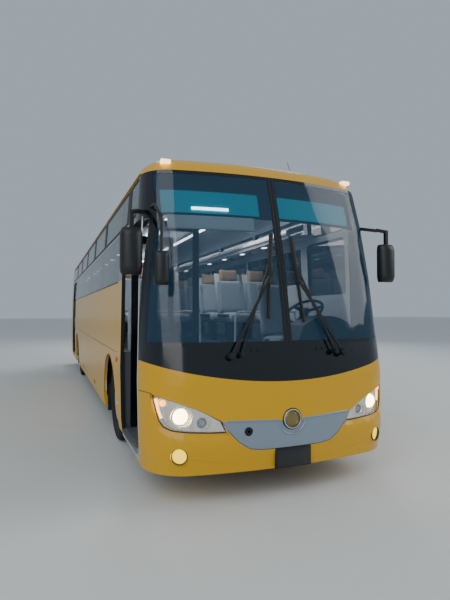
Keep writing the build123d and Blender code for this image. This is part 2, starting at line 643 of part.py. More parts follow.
for y in (RAIL_NOSE + 100, KINK_Y + BEAM / 2):
    chassis = chassis + block(-inside_x, inside_x, y - 30, y + 30, *FRONT_RAIL)
for y in (HOLD_FRONT - 70, HOLD_REAR + 70):
    chassis = chassis + block(-HOLD_X + 20, HOLD_X - 20, y - 25, y + 25, *LOW_RAIL)
# fuel tank in its straps beside the front rail, on the driver's side
TANK_Z = (SKIRT_Z + 30, SKIRT_Z + 460)
TANK_X = (RAIL_X + RAIL_W / 2, HALF_WIDTH - 115)
TANK_Y = (FRONT_Y + 700, FRONT_AXLE_Y - ARCH_RADIUS - ARCH_FOOT - 100)
tank_bevel = 60
tank_rows = [
    (TANK_X[0], TANK_Z[0]),
    (TANK_X[1] - tank_bevel, TANK_Z[0]),
    (TANK_X[1], TANK_Z[0] + tank_bevel),
    (TANK_X[1], TANK_Z[1] - tank_bevel),
    (TANK_X[1] - tank_bevel, TANK_Z[1]),
    (TANK_X[0], TANK_Z[1]),
]
chassis = chassis + prism(tank_rows, in_front, *TANK_Y)
# engine cradle behind the rear axle, on the driver's side of the second stairwell
ENGINE_X = (-150, 820)
CRADLE = (SKIRT_Z + 10, SKIRT_Z + 90)
CRADLE_END = REAR_Y - 360
for x in (ENGINE_X[0] + 10, ENGINE_X[1] - 90):
    chassis = chassis + block(x, x + BEAM, RAIL_TAIL - BEAM, CRADLE_END, *CRADLE)
    chassis = chassis + block(x, x + BEAM, RAIL_TAIL - BEAM, RAIL_TAIL, CRADLE[0], HIGH_RAIL[1])
for y in (RAIL_TAIL - BEAM, CRADLE_END - BEAM):
    chassis = chassis + block(ENGINE_X[0] + 10, ENGINE_X[1] - 10, y, y + BEAM, *CRADLE)
chassis = chassis + block(inside_x, ENGINE_X[1] - 10, RAIL_TAIL - BEAM, RAIL_TAIL, *HIGH_RAIL)
# towing socket on an arm of the rail's front end, with its mouth in the hole of the silver panel
TOW_MOUTH_Y = FRONT_Y + 12
TOW_ARM = 26
socket_x = -TOW_HOLE_X
socket_y = TOW_MOUTH_Y + TOW_LENGTH / 2
arm_end_y = TOW_MOUTH_Y + TOW_LENGTH
arm_z = (TOW_HOLE_Z - TOW_ARM, TOW_HOLE_Z + TOW_ARM)
chassis = chassis + block(socket_x - 40, socket_x + 54, RAIL_NOSE - 12, RAIL_NOSE, 570, FRONT_RAIL[1])
chassis = chassis + block(socket_x - TOW_ARM, socket_x + TOW_ARM, arm_end_y, RAIL_NOSE, *arm_z)
chassis = chassis + along_y(socket_x, socket_y, TOW_HOLE_Z, TOW_ARM, TOW_LENGTH)
chassis = chassis - along_y(socket_x, socket_y, TOW_HOLE_Z, TOW_R, TOW_LENGTH + 0.01)
nodes["chassis_frame"] = chassis

# Engine with gearbox as one block on its cradle
ENGINE_Y = (REAR_AXLE_Y + 1050, REAR_Y - 520)
GEARBOX = 450
engine = block(ENGINE_X[0], ENGINE_X[1] - 40, ENGINE_Y[0] + GEARBOX, ENGINE_Y[1], CRADLE[1], FLOOR_UNDER - 20)
gearbox = block(ENGINE_X[0] + 180, ENGINE_X[1] - 220, ENGINE_Y[0], ENGINE_Y[0] + GEARBOX + 10, 480, 980)
nodes["engine_block"] = engine + gearbox

# Axles with air springs, kingpins and stub ends
SPRING_R = 104
BAG_R = 100
BAG_REACH = 330
KNUCKLE_HALF = 110
ARM_Z = 72
EYE_R = 48
EYE_HALF = 70
KING_R = 22
KING_PLAY = 0.3
HUB_Z = TYRE_RADIUS
STUB_R = 58
STUB_PLAY = 0.4
STUB_END = WHEEL_X + 60
beam_x = KINGPIN_X - 90


def flat_skin_round(rows, sides):
    """Solid round the Z axis through polygons. A row is height and radius."""
    turn = [2 * math.pi * i / sides for i in range(sides)]
    return flat_skin([[Vector(radius * math.cos(a), radius * math.sin(a), z) for a in turn] for z, radius in rows])


def air_spring(x, y, radius):
    """Rubber bag of two lobes between its plates, from the axle up to the rail."""
    low = HUB_Z
    tall = HIGH_RAIL[0] - low
    neck = radius - 16
    rows = [(0, neck), (0.2, radius), (0.36, radius), (0.5, neck), (0.64, radius), (0.8, radius), (1, neck)]
    return Pos(x, y, low) * flat_skin_round([(share * tall, r) for share, r in rows], 12)


beam = block(-beam_x, beam_x, FRONT_AXLE_Y - 55, FRONT_AXLE_Y + 55, HUB_Z - 64, HUB_Z + 40)
for side in (1, -1):
    king_x = side * KINGPIN_X
    beam = beam + air_spring(side * 480, FRONT_AXLE_Y, SPRING_R)
    beam = beam + Pos(king_x, FRONT_AXLE_Y, HUB_Z) * Cylinder(EYE_R, 2 * EYE_HALF)
    beam = beam + block(side * beam_x, king_x, FRONT_AXLE_Y - 40, FRONT_AXLE_Y + 40, HUB_Z - 60, HUB_Z + 40)
    beam = beam - Pos(king_x, FRONT_AXLE_Y, HUB_Z) * Cylinder(KING_R + KING_PLAY, 4 * EYE_HALF)
CASE_X = WHEEL_X - TWIN_PITCH - 185
rear_beam = along_x(0, REAR_AXLE_Y, HUB_Z, 75, 2 * CASE_X)
rear_beam = rear_beam + along_x(0, REAR_AXLE_Y, HUB_Z, 190, 240)
rear_beam = rear_beam + along_x(0, REAR_AXLE_Y, HUB_Z, STUB_R, 2 * STUB_END)
for side in (1, -1):
    for dy in (-BAG_REACH, BAG_REACH):
        y = REAR_AXLE_Y + dy
        rear_beam = rear_beam + block(side * 340, side * 460, y - 110, y + 110, HUB_Z - 60, HUB_Z)
        rear_beam = rear_beam + air_spring(side * RAIL_X, y, BAG_R)
    arm_y = REAR_AXLE_Y - BAG_REACH
    rear_beam = rear_beam + block(side * 360, side * 440, arm_y, arm_y + 2 * BAG_REACH, HUB_Z - 60, HUB_Z)
nodes["axle_beams"] = Compound([beam, rear_beam])

# Knuckle on the kingpin with the stub that carries the wheel
arm_end = KINGPIN_X + 110
knuckle = Pos(KINGPIN_X, FRONT_AXLE_Y, HUB_Z) * Cylinder(KING_R, 2 * KNUCKLE_HALF)
knuckle = knuckle + block(arm_end - 50, arm_end, FRONT_AXLE_Y - 50, FRONT_AXLE_Y + 50, HUB_Z - KNUCKLE_HALF, HUB_Z + KNUCKLE_HALF)
for low, high in ((HUB_Z + ARM_Z, HUB_Z + KNUCKLE_HALF), (HUB_Z - KNUCKLE_HALF, HUB_Z - ARM_Z)):
    knuckle = knuckle + block(KINGPIN_X - 45, arm_end, FRONT_AXLE_Y - 50, FRONT_AXLE_Y + 50, low, high)
knuckle = knuckle + along_x((arm_end - 10 + STUB_END) / 2, FRONT_AXLE_Y, HUB_Z, STUB_R, STUB_END - arm_end + 10)
nodes["knuckle_left"] = knuckle
nodes["knuckle_right"] = mirror(knuckle, about=Plane.YZ)


def faceted(rows, sides):
    """Solid round the X axis through polygons. A row is x and radius. With 48 sides it lies within 1 mm of the round tyre."""
    turn = [2 * math.pi * i / sides for i in range(sides)]
    return flat_skin([[Vector(x, radius * math.cos(a), radius * math.sin(a)) for a in turn] for x, radius in rows])


# Tyre section in five straight bands, and the wheel in the same 48 sides, which keeps six tyres light
WHEEL_SIDES = 48
BEAD_X = TYRE_WIDTH / 2 - 38
BEAD_R = RIM_RADIUS + 12
BULGE_R = RIM_RADIUS + 105
SHOULDER_X = TYRE_WIDTH / 2 - 26
TYRE_ROWS = [
    (-BEAD_X, BEAD_R),
    (-TYRE_WIDTH / 2, BULGE_R),
    (-SHOULDER_X, TYRE_RADIUS),
    (SHOULDER_X, TYRE_RADIUS),
    (TYRE_WIDTH / 2, BULGE_R),
    (BEAD_X, BEAD_R),
]
HAND_HOLES = 10
HAND_HOLE_R = 24
HAND_CIRCLE_R = 222
STUD_HOLES = 10
STUD_CIRCLE_R = 167.5
STUD_HOLE_R = 13
DISC_THICK = 12
RIM_GAP = 0.3
RIM_WALL = 22


def tyre(x, y):
    body = faceted(TYRE_ROWS, WHEEL_SIDES) - faceted([(-BEAD_X - 1, RIM_RADIUS), (BEAD_X + 1, RIM_RADIUS)], WHEEL_SIDES)
    return Pos(x, y, HUB_Z) * body


def round_pattern(x, radius, count, offset, hole):
    """Copies of a hole through the wheel's disc, on a circle round the axle."""
    turns = [2 * math.pi * (i + offset) / count for i in range(count)]
    return [Pos(x, radius * math.cos(a), radius * math.sin(a)) * hole for a in turns]


def rim(x, y, dish, side, hand_holes, stud_holes):
    """Barrel with a flat disc at its dish, measured outwards from the middle of the tyre."""
    half = BEAD_X + 4
    r = RIM_RADIUS - RIM_GAP
    body = faceted([(-half, r), (half, r)], WHEEL_SIDES)
    front = [(dish + DISC_THICK, r - RIM_WALL - 12), (dish + 40, r - RIM_WALL - 12), (half + 1, r - RIM_WALL)]
    back = [(-half - 1, r - RIM_WALL - 4), (dish, r - RIM_WALL - 12)]
    body = body - faceted(front, WHEEL_SIDES) - faceted(back, WHEEL_SIDES // 2)
    body = body - Rot(0, 90, 0) * Cylinder(STUB_R + STUB_PLAY, 400)
    disc_x = dish + DISC_THICK / 2
    hand_hole = faceted([(-30, HAND_HOLE_R), (30, HAND_HOLE_R)], 8)
    stud_hole = Rot(0, 90, 0) * Cylinder(STUD_HOLE_R, 60)
    for hole in round_pattern(disc_x, HAND_CIRCLE_R, hand_holes, 0, hand_hole):
        body = body - hole
    for hole in round_pattern(disc_x, STUD_CIRCLE_R, stud_holes, 0.5, stud_hole):
        body = body - hole
    return Pos(x, y, HUB_Z) * (body if side > 0 else mirror(body, about=Plane.YZ))


FRONT_DISH = 60
TWIN_DISH = 85
for side, word in ((1, "left"), (-1, "right")):
    wheel_x = side * WHEEL_X
    twin_x = side * (WHEEL_X - TWIN_PITCH)
    nodes[f"tyre_front_{word}"] = tyre(wheel_x, FRONT_AXLE_Y)
    front_rim = rim(wheel_x, FRONT_AXLE_Y, FRONT_DISH, side, HAND_HOLES, STUD_HOLES)
    hub = along_x(wheel_x + side * (FRONT_DISH + 5), FRONT_AXLE_Y, HUB_Z, 105, 130)
    hub = hub - along_x(wheel_x + side * 10, FRONT_AXLE_Y, HUB_Z, STUB_R + STUB_PLAY, 2 * 52)
    nodes[f"rim_front_{word}"] = front_rim + hub
    nodes[f"tyres_rear_{word}"] = Compound([tyre(wheel_x, REAR_AXLE_Y), tyre(twin_x, REAR_AXLE_Y)])
    outer_rim = rim(wheel_x, REAR_AXLE_Y, -TWIN_DISH, side, HAND_HOLES, 0)
    inner_rim = rim(twin_x, REAR_AXLE_Y, TWIN_DISH - DISC_THICK, side, 0, 0)
    hub_first = WHEEL_X - TWIN_PITCH + TWIN_DISH - 20
    hub_last = WHEEL_X + 75
    hub = along_x(side * (hub_first + hub_last) / 2, REAR_AXLE_Y, HUB_Z, 115, hub_last - hub_first)
    bore = along_x(side * (hub_first + STUB_END + 2) / 2, REAR_AXLE_Y, HUB_Z, STUB_R + STUB_PLAY, STUB_END + 2 - hub_first + 0.2)
    bore = bore + along_x(side * (hub_first - 30), REAR_AXLE_Y, HUB_Z, STUB_R + STUB_PLAY, 100)
    nodes[f"rim_rear_{word}"] = (outer_rim + inner_rim + hub) - bore


def leaf(length, z0, z1):
    """Door leaf standing inwards from its post at the origin, with pane webs in a frame."""
    body = block(-LEAF_THICK / 2, length, -LEAF_THICK / 2, LEAF_THICK / 2, z0, z1)
    pin_foot = z0 - LEAF_UNDER + TREAD_DROP - PIN_DEPTH
    pin_head = z1 + LEAF_OVER + PIN_DEPTH
    body = body + Pos(0, 0, (pin_foot + pin_head) / 2) * Cylinder(PIN_R, pin_head - pin_foot)
    for low, high in ((z0 + 120, z0 + 900), (z0 + 1010, z1 - 90)):
        for face in (1, -1):
            body = body - block(60, length - 55, face * 4, face * LEAF_THICK, low, high)
    return body


# Door leaves, standing open at rest. Each doorway has two, on posts at its ends.
for y0, y1, z0, name in DOORWAYS:
    reach = (y1 - y0) / 2 - POST_INSET - LEAF_PLAY / 2
    shape = leaf(reach, z0 + LEAF_UNDER, DOOR_TOP - LEAF_OVER)
    nodes[f"{name}_leaf_1"] = Pos(-POST_X, y0 + POST_INSET, 0) * shape
    nodes[f"{name}_leaf_2"] = Pos(-POST_X, y1 - POST_INSET, 0) * shape

# Passenger seats in pairs
SEAT_PITCH = 800
SEAT_WIDTH = 900
SEAT_X = HALF_WIDTH - 575
BACK_REACH = 430
FIRST_ROW_Y = FRONT_AXLE_Y - 150
LEFT_COUNT = 1 + int((REAR_Y - 400 - BACK_REACH - FIRST_ROW_Y) / SEAT_PITCH)
RIGHT_COUNT = 1 + int((REAR_DOOR_Y - 450 - BACK_REACH - FIRST_ROW_Y) / SEAT_PITCH)


SEAT_JOINT = 0.5
CUSHION_LOW = FLOOR_TOP + 290
CUSHION_TOP = CUSHION_LOW + 130


def seat_pair(x, y):
    """Two seats on one base. Cushions have a rolled front edge. The backs lean and stand on the cushions' rear."""
    half = SEAT_WIDTH / 4 - 12
    lower = block(x - 330, x + 330, y - 120, y + 200, FLOOR_TOP, CUSHION_LOW + 10)
    upper = block(x - SEAT_WIDTH / 2 + 5, x + SEAT_WIDTH / 2 - 5, y + 195, y + 255, CUSHION_TOP + SEAT_JOINT, CUSHION_TOP + 90)
    z = CUSHION_LOW
    cushion_rows = [
        (y + 230, z),
        (y + 262, CUSHION_TOP),
        (y + 140, CUSHION_TOP),
        (y - 220, z + 150),
        (y - 265, z + 110),
        (y - 250, z),
    ]
    foot = CUSHION_TOP + SEAT_JOINT
    back_rows = [
        (y + 262, foot),
        (y + 330, z + 330),
        (y + BACK_REACH, z + 760),
        (y + BACK_REACH - 60, z + 790),
        (y + 300, z + 640),
        (y + 215, z + 330),
        (y + 142, foot),
    ]
    for dx in (-SEAT_WIDTH / 4, SEAT_WIDTH / 4):
        lower = lower + prism(cushion_rows, in_side, x + dx - half, x + dx + half)
        upper = upper + prism(back_rows, in_side, x + dx - half, x + dx + half)
    return [lower, upper]


# Driver's seat
DRIVER_X = HALF_WIDTH - 635
DRIVER_Y = FRONT_Y + 1280
z = PLATFORM_TOP
seat = block(DRIVER_X - 150, DRIVER_X + 150, DRIVER_Y - 150, DRIVER_Y + 200, z, z + 330)
driver_cushion = [
    (DRIVER_Y + 270, z + 320),
    (DRIVER_Y + 285, z + 440),
    (DRIVER_Y + 160, z + 440),
    (DRIVER_Y - 250, z + 460),
    (DRIVER_Y - 280, z + 400),
    (DRIVER_Y - 260, z + 320),
]
driver_back = [
    (DRIVER_Y + 290, z + 440 + SEAT_JOINT),
    (DRIVER_Y + 400, z + 1130),
    (DRIVER_Y + 330, z + 1150),
    (DRIVER_Y + 240, z + 700),
    (DRIVER_Y + 162, z + 440 + SEAT_JOINT),
]
seat = seat + prism(driver_cushion, in_side, DRIVER_X - 245, DRIVER_X + 245)
seats = [seat, prism(driver_back, in_side, DRIVER_X - 245, DRIVER_X + 245)]
for side, count in ((1, LEFT_COUNT), (-1, RIGHT_COUNT)):
    for number in range(count):
        seats += seat_pair(side * SEAT_X, FIRST_ROW_Y + SEAT_PITCH * number)
nodes["seats"] = Compound(seats)

# Dashboard with the binnacle's mound in front of the driver
DASH_BACK = FRONT_Y + 670
DASH_TOP = SCREEN_BOTTOM_Z - 15
DASH_LOW = 1010
dash = block(-DECK_X, DECK_X, FRONT_Y, FRONT_DOOR_Y - 25, DASH_LOW, DASH_TOP)
dash = dash + block(-600, DECK_X, FRONT_DOOR_Y - 120, DASH_BACK - 60, DASH_LOW, DASH_TOP)
dash = dash + block(200, DECK_X, FRONT_DOOR_Y - 80, DASH_BACK, PLATFORM_TOP, DASH_TOP)
binnacle_rows = [
    (DRIVER_X + 370, DASH_TOP - 30),
    (DRIVER_X + 260, DASH_TOP + 170),
    (DRIVER_X - 10, DASH_TOP + 270, DRIVER_X - 300, DASH_TOP + 170),
    (DRIVER_X - 390, DASH_TOP - 30),
]
binnacle = prism(binnacle_rows, in_front, DASH_BACK - 310, DASH_BACK - 20)
dash = (dash + binnacle) & inner
nodes["dashboard"] = dash

COLUMN_TILT = 35
STEER_R = 225
STEER_TUBE = 15
RING_SIDES = 36
ring_mid = STEER_R - STEER_TUBE
ring_outer = [(-STEER_TUBE, ring_mid + 4), (-5, STEER_R), (5, STEER_R), (STEER_TUBE, ring_mid + 4)]
ring_inner = [(-STEER_TUBE - 1, ring_mid - 3), (-5, ring_mid - STEER_TUBE), (5, ring_mid - STEER_TUBE), (STEER_TUBE + 1, ring_mid - 3)]
ring = Rot(0, -90, 0) * (faceted(ring_outer, RING_SIDES) - faceted(ring_inner, RING_SIDES))
spokes = Cylinder(60, 26)
for angle in (90, 210, 330):
    spokes = spokes + Rot(0, 0, angle) * Pos(STEER_R / 2, 0, 0) * Box(STEER_R - STEER_TUBE, 36, 16)
column = Pos(0, 0, -200) * Cylinder(28, 400)
steer = Pos(DRIVER_X, DASH_BACK + 175, DASH_TOP + 310) * Rot(-COLUMN_TILT, 0, 0) * (ring + spokes + column)
nodes["steering_wheel"] = steer - dash

# Luggage racks under the roof
RACK_TOP = EAVES_Z - 300
rack_rows = [
    (800, RACK_TOP - 90),
    (FAR_X, RACK_TOP - 40),
    (FAR_X, RACK_TOP),
    (830, RACK_TOP - 50),
    (800, RACK_TOP + 20),
    (785, RACK_TOP + 20),
]
rack = prism(rack_rows, in_front, FRONT_Y + 1500, REAR_Y - 400) & inner
nodes["luggage_racks"] = Compound(list(both_sides(rack)))

# Hand rails in front of the first seats
RAIL_Y = KINK_Y + 30
RAIL_TOP = FLOOR_TOP + 440
rail_points = [
    (HALF_WIDTH - 155, RAIL_Y, FLOOR_TOP),
    (HALF_WIDTH - 155, RAIL_Y, RAIL_TOP),
    (280, RAIL_Y, RAIL_TOP),
    (240, RAIL_Y, RAIL_TOP - 80),
    (240, RAIL_Y, FLOOR_TOP),
]
nodes["handrails"] = Compound(list(both_sides(tube_line(rail_points, 16))))

# Side mirrors on arms from the pillars, and the ramp mirror before the screen on the door side
MIRROR_Y = FRONT_Y + 360
HEAD_WIDE = 190
HEAD_DEEP = 110
HEAD_TALL = 400


def mirror_head(x, y, z, wide, deep, tall):
    """Housing with a bowed front, a flat back for the glass, and ends that draw in."""
    bow = [math.pi * i / 8 for i in range(9)]
    rows = []
    for height, across, depth in ((0, 0.82, 0.45), (0.06, 0.95, 0.8), (0.16, 1, 1), (0.84, 1, 1), (0.94, 0.95, 0.8), (1, 0.82, 0.45)):
        half = wide / 2 * across
        level = z - tall / 2 + height * tall
        plan = [Vector(x + half, y + deep * 0.3, level)]
        plan += [Vector(x + half * math.cos(a), y - deep * 0.7 * depth * math.sin(a), level) for a in bow]
        rows.append(plan + [Vector(x - half, y + deep * 0.3, level)])
    return flat_skin(rows)


head_x = MIRROR_REACH - HEAD_WIDE / 2
arm_root = Vector(HALF_WIDTH - 85, FRONT_Y + 580, UPPER_SILL_Z)
side_head = mirror_head(head_x, MIRROR_Y, 2160, HEAD_WIDE, HEAD_DEEP, HEAD_TALL)
side_arm = bar(arm_root, Vector(head_x - 60, MIRROR_Y + 70, 2520), 34, 34)
side_arm = side_arm + bar(Vector(head_x - 70, MIRROR_Y + 70, 2528), Vector(head_x, MIRROR_Y, 2500), 34, 34)
side_arm = side_arm + block(head_x - 17, head_x + 17, MIRROR_Y - 17, MIRROR_Y + 17, 2160 + HEAD_TALL / 2 - 10, 2515)
side_set = (side_head + side_arm) - outer
ramp_x = HALF_WIDTH - 115
ramp_y = FRONT_Y + 100
ramp_head = mirror_head(ramp_x, ramp_y, 2000, 130, 90, 280)
ramp_root = (ramp_x - 10, FRONT_Y + 560, UPPER_SILL_Z + 40)
ramp_arm = tube_line([ramp_root, (ramp_x + 15, ramp_y + 200, 2570), (ramp_x, ramp_y + 10, 2420), (ramp_x, ramp_y, 2100)], 13)
ramp_set = (ramp_head + ramp_arm) - outer
nodes["mirrors"] = Compound([side_set, mirror(side_set, about=Plane.YZ), mirror(ramp_set, about=Plane.YZ)])

# Pantograph wipers: two parallel rods lead from the pivots to the clamp in the middle of each blade
# side, pivot x, foot of the blade x and z, its head x and z, clamp x and z
WIPERS = [
    (-1, 565, 183, 1585, 85, 2367, 142, 1978),
    (1, 565, 174, 1547, 126, 2343, 142, 1940),
]
PIVOT_Z = SCREEN_BOTTOM_Z - 80
BLADE_OFF = 14
ARM_OFF = 46


def on_glass(x, z, off):
    return Vector(x, front_y(x, z) - off, z)


wiper_solids = []
for side, pivot_x, foot_x, foot_z, head_x, head_z, clamp_x, clamp_z in WIPERS:
    pivot = on_glass(side * pivot_x, PIVOT_Z, ARM_OFF)
    second = on_glass(side * (pivot_x - 90), PIVOT_Z + 10, ARM_OFF)
    clamp = on_glass(side * clamp_x, clamp_z, ARM_OFF)
    second_end = on_glass(side * (clamp_x + 8), clamp_z + 90, ARM_OFF)
    foot = on_glass(side * foot_x, foot_z, BLADE_OFF)
    bend = on_glass(side * clamp_x, BELT_Z, BLADE_OFF)
    head = on_glass(side * head_x, head_z, BLADE_OFF)
    body = bar(pivot, clamp, 26, 12) + bar(second, second_end, 16, 10)
    body = body + bar(clamp + Vector(0, 0, -25), second_end + Vector(0, 0, 20), 34, 16)
    body = body + bar(foot, bend, 22, 20) + bar(bend, head, 22, 20)
    body = body + block(clamp.X - 14, clamp.X + 14, clamp.Y, clamp.Y + ARM_OFF - BLADE_OFF, clamp_z - 30, clamp_z + 30)
    body = body + along_y(pivot.X, pivot.Y + 20, pivot.Z, 30, 70) + along_y(second.X, second.Y + 20, second.Z, 20, 70)
    wiper_solids.append(body - outer)
nodes["wipers"] = Compound(wiper_solids)

# Roof unit and hatches
UNIT_TALL = 165
unit_rows = [(-650, ROOF_TOP), (650, ROOF_TOP), (560, ROOF_TOP + UNIT_TALL), (-560, ROOF_TOP + UNIT_TALL)]
unit = prism(unit_rows, in_front, REAR_AXLE_Y - 2300, REAR_AXLE_Y + 300)
ramp_rows = [
    (REAR_AXLE_Y - 2300, ROOF_TOP),
    (REAR_AXLE_Y + 300, ROOF_TOP),
    (REAR_AXLE_Y + 180, ROOF_TOP + UNIT_TALL),
    (REAR_AXLE_Y - 2050, ROOF_TOP + UNIT_TALL),
]
unit = unit & prism(ramp_rows, in_side, -700, 700)
# Fan wells in the top of the unit: two rows
FAN_R = 190
FAN_DEPTH = 40
for y in spaced(REAR_AXLE_Y - 1700, REAR_AXLE_Y - 200, 2):
    for x in (-270, 270):
        unit = unit - Pos(x, y, ROOF_TOP + UNIT_TALL - FAN_DEPTH) * flat_skin_round([(0, FAN_R - 10), (FAN_DEPTH + 1, FAN_R)], 24)
hatches = [block(-330, 330, y - 380, y + 380, ROOF_TOP, ROOF_TOP + 45) for y in (FRONT_AXLE_Y + 900, REAR_AXLE_Y + 1300)]
nodes["roof_unit"] = Compound([unit] + hatches)

for name, shape in nodes.items():
    export_step(shape, f"parts/{name}.step")
    print(name, round(shape.volume / 1e6, 1), "litres", len(shape.solids()), "solids")
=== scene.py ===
import bpy
import bmesh
import math
from mathutils import Matrix, Vector


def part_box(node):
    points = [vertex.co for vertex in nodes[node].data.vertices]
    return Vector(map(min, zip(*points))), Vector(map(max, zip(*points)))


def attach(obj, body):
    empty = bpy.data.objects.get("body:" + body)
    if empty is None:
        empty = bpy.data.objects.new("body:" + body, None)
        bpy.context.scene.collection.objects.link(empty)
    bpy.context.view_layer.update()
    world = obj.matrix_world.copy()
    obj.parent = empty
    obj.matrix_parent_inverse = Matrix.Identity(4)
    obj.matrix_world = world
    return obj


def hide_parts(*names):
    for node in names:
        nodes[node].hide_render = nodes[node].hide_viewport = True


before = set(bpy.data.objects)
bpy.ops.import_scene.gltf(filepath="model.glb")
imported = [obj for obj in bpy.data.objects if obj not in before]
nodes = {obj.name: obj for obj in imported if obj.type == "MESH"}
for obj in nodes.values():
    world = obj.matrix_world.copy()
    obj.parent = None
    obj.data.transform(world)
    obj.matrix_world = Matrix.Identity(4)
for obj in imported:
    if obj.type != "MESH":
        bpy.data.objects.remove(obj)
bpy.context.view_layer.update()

# Camera: focal length and image in pixels, sensor in mm, place in metres, turn and tilt in degrees
FOCAL = 455.6
IMAGE_TALL = 600
SENSOR_MM = 36
EYE = Vector((-2.034, -9.555, 1.636))
TURN = 21.41
TILT = 1.545

# Coach, in metres
SIDE_X = 1.275
FRONT_Y = -6.0
FRONT_ARC = 5.0
FRONT_AXLE_Y = -3.5
REAR_AXLE_Y = 3.0
HUB_Z = 0.522
WHEEL_X = 1.04
TWIN_PITCH = 0.335
STUD_CIRCLE = 0.1675
ARCH_RADIUS = 0.607
ARCH_Z = 0.5
FLOOR_Z = 1.2
BELT_Z = 1.99
EAVES_Z = 2.96
ROOF_Z = 3.195
SCREEN_FOOT_Z = 1.345
POST_FOOT_Z = 1.212
BORDER = 0.035
DIVIDER_HALF = 0.018
WINDOWS_Y = -4.19
DOOR_HEAD_Z = 2.5
FRONT_DOOR = (-5.48, -4.47)
REAR_DOOR = (3.9, 5.15)
UPPER_PANES = (-5.15, 5.3)
UPPER_POSTS = (-4.72, -2.7, -1.1, 0.5, 2.1, 3.7)
FLAPS = ((-2.68, -0.36), (-0.33, 1.99))
EMBLEM_Z = 0.697
MIRROR_X = 1.36
RAMP_MIRROR_X = -1.16
SEAT_X = 0.7
FIRST_ROW_Y = -3.65
SEAT_PITCH = 0.8
ROWS = {"left": 12, "right": 9}
DRIVER = Vector((0.64, -4.72, 0.9))
SIDES = {"left": 1, "right": -1}

# Sections of the body: height, how far the side and the nose stand back, radius of the front's corners
SECTIONS = [
    (0.27, 0.035, 0.04, 0.42),
    (0.48, 0.013, 0.0, 0.44),
    (1.03, 0.0, 0.004, 0.45),
    (1.99, 0.013, 0.18, 0.4),
    (2.56, 0.039, 0.31, 0.345),
    (2.96, 0.071, 0.425, 0.32),
    (3.04, 0.103, 0.49, 0.315),
]


def rgb(text):
    """Linear colour from a hexadecimal one."""
    parts = [int(text[i:i + 2], 16) / 255 for i in (1, 3, 5)]
    return [c / 12.92 if c <= 0.04045 else ((c + 0.055) / 1.055) ** 2.4 for c in parts] + [1.0]


def add_node(tree, kind, settings=None, links=None):
    """Adds a shader node. Settings fill its sockets or properties, links join its sockets to outputs."""
    made = tree.nodes.new(kind)
    for name, value in (settings or {}).items():
        if name in made.inputs:
            made.inputs[name].default_value = value
        else:
            setattr(made, name, value)
    for name, source in (links or {}).items():
        tree.links.new(source, made.inputs[name])
    return made


def material(name, colour, roughness, **sockets):
    """Plain shader with its numbers on its own sockets. Grain is the depth and scale of a fine bump."""
    made = bpy.data.materials.new(name)
    made.use_nodes = True
    tree = made.node_tree
    shader = tree.nodes["Principled BSDF"]
    shader.inputs["Base Color"].default_value = rgb(colour)
    shader.inputs["Roughness"].default_value = roughness
    grain = sockets.pop("grain", None)
    glow = sockets.pop("glow", None)
    for socket, value in sockets.items():
        shader.inputs[socket.replace("_", " ")].default_value = value
    if glow:
        shader.inputs["Emission Color"].default_value = rgb(glow[0])
        shader.inputs["Emission Strength"].default_value = glow[1]
    if grain:
        place = add_node(tree, "ShaderNodeTexCoord")
        noise = add_node(tree, "ShaderNodeTexNoise", {"Scale": grain[1], "Detail": 3.0},
                         {"Vector": place.outputs["Object"]})
        bump = add_node(tree, "ShaderNodeBump", {"Strength": 0.35, "Distance": grain[0]},
                        {"Height": noise.outputs["Fac"]})
        tree.links.new(bump.outputs["Normal"], shader.inputs["Normal"])
    return made


# Coach paint, golden yellow with a clear coat
PAINT = material("coach_paint", "#D6A000", 0.36, Coat_Weight=0.3, Coat_Roughness=0.05,
                 Specular_IOR_Level=0.35)
# Silver lacquer of the panel between the lamps
SILVER = material("silver_lacquer", "#8C9AA8", 0.35, Metallic=0.55, Coat_Weight=0.5, Coat_Roughness=0.08)
# Black lacquered plastic round the screen and between the windows
BLACK = material("black_lacquer", "#060A10", 0.16, Coat_Weight=0.25, Coat_Roughness=0.05)
# Laminated windscreen, lightly tinted
SCREEN = material("screen_glass", "#20435A", 0.03, Alpha=0.42, IOR=1.52, Specular_IOR_Level=0.6)
# Dark tinted side and rear glass
TINTED = material("tinted_glass", "#0B1218", 0.03, Alpha=0.8, IOR=1.6, Specular_IOR_Level=0.9)
# Lightly tinted glass of the entrance doors
DOOR_GLASS = material("door_glass", "#16242C", 0.03, Alpha=0.2, IOR=1.5)
# Clear polycarbonate over the head lamps
LENS = material("lamp_cover", "#DCE6EC", 0.03, Alpha=0.16, IOR=1.58, Specular_IOR_Level=0.8)
# Vaporised aluminium of the reflectors, with a faint painted glow that brightens and warms them
CHROME_WITH_PAINTED_GLOW = material("lamp_reflector_painted_glow", "#E4E2DC", 0.14, Metallic=1.0, glow=("#FFEFD2", 0.1))
# Ground glass of lamps that are lit
LIT = material("lit_lamp", "#FFF0D2", 0.3, glow=("#FFE3B4", 14.0))
# Roof marker lamps, lit
MARKER = material("lit_marker_lamp", "#FFE2B4", 0.3, glow=("#FFCE8A", 3.0))
# Fog lamp glass, lit
FOG_LIT = material("lit_fog_lamp", "#F4C41C", 0.3, glow=("#FFDC3C", 1.6))
# Lit strip of the ceiling
STRIP = material("ceiling_strip", "#F4F8FF", 0.4, glow=("#E8F4FF", 10.0))
# Amber lamp plastic
AMBER = material("amber_plastic", "#C9660C", 0.12, Coat_Weight=0.4)
# Amber bulb, lit
AMBER_LIT = material("lit_amber_bulb", "#FFB45A", 0.3, glow=("#FF9A3C", 5.0))
# Thick clear glass of the small projector, not lit
PROJECTOR = material("projector_glass", "#5B6A74", 0.04, Coat_Weight=1.0, Specular_IOR_Level=1.0)
# Red lamp plastic
RED = material("red_plastic", "#8C0A0E", 0.12, Coat_Weight=0.4)
# Clear lamp plastic of reversing lamps
CLEAR = material("clear_plastic", "#C9CDD0", 0.1, Coat_Weight=0.4)
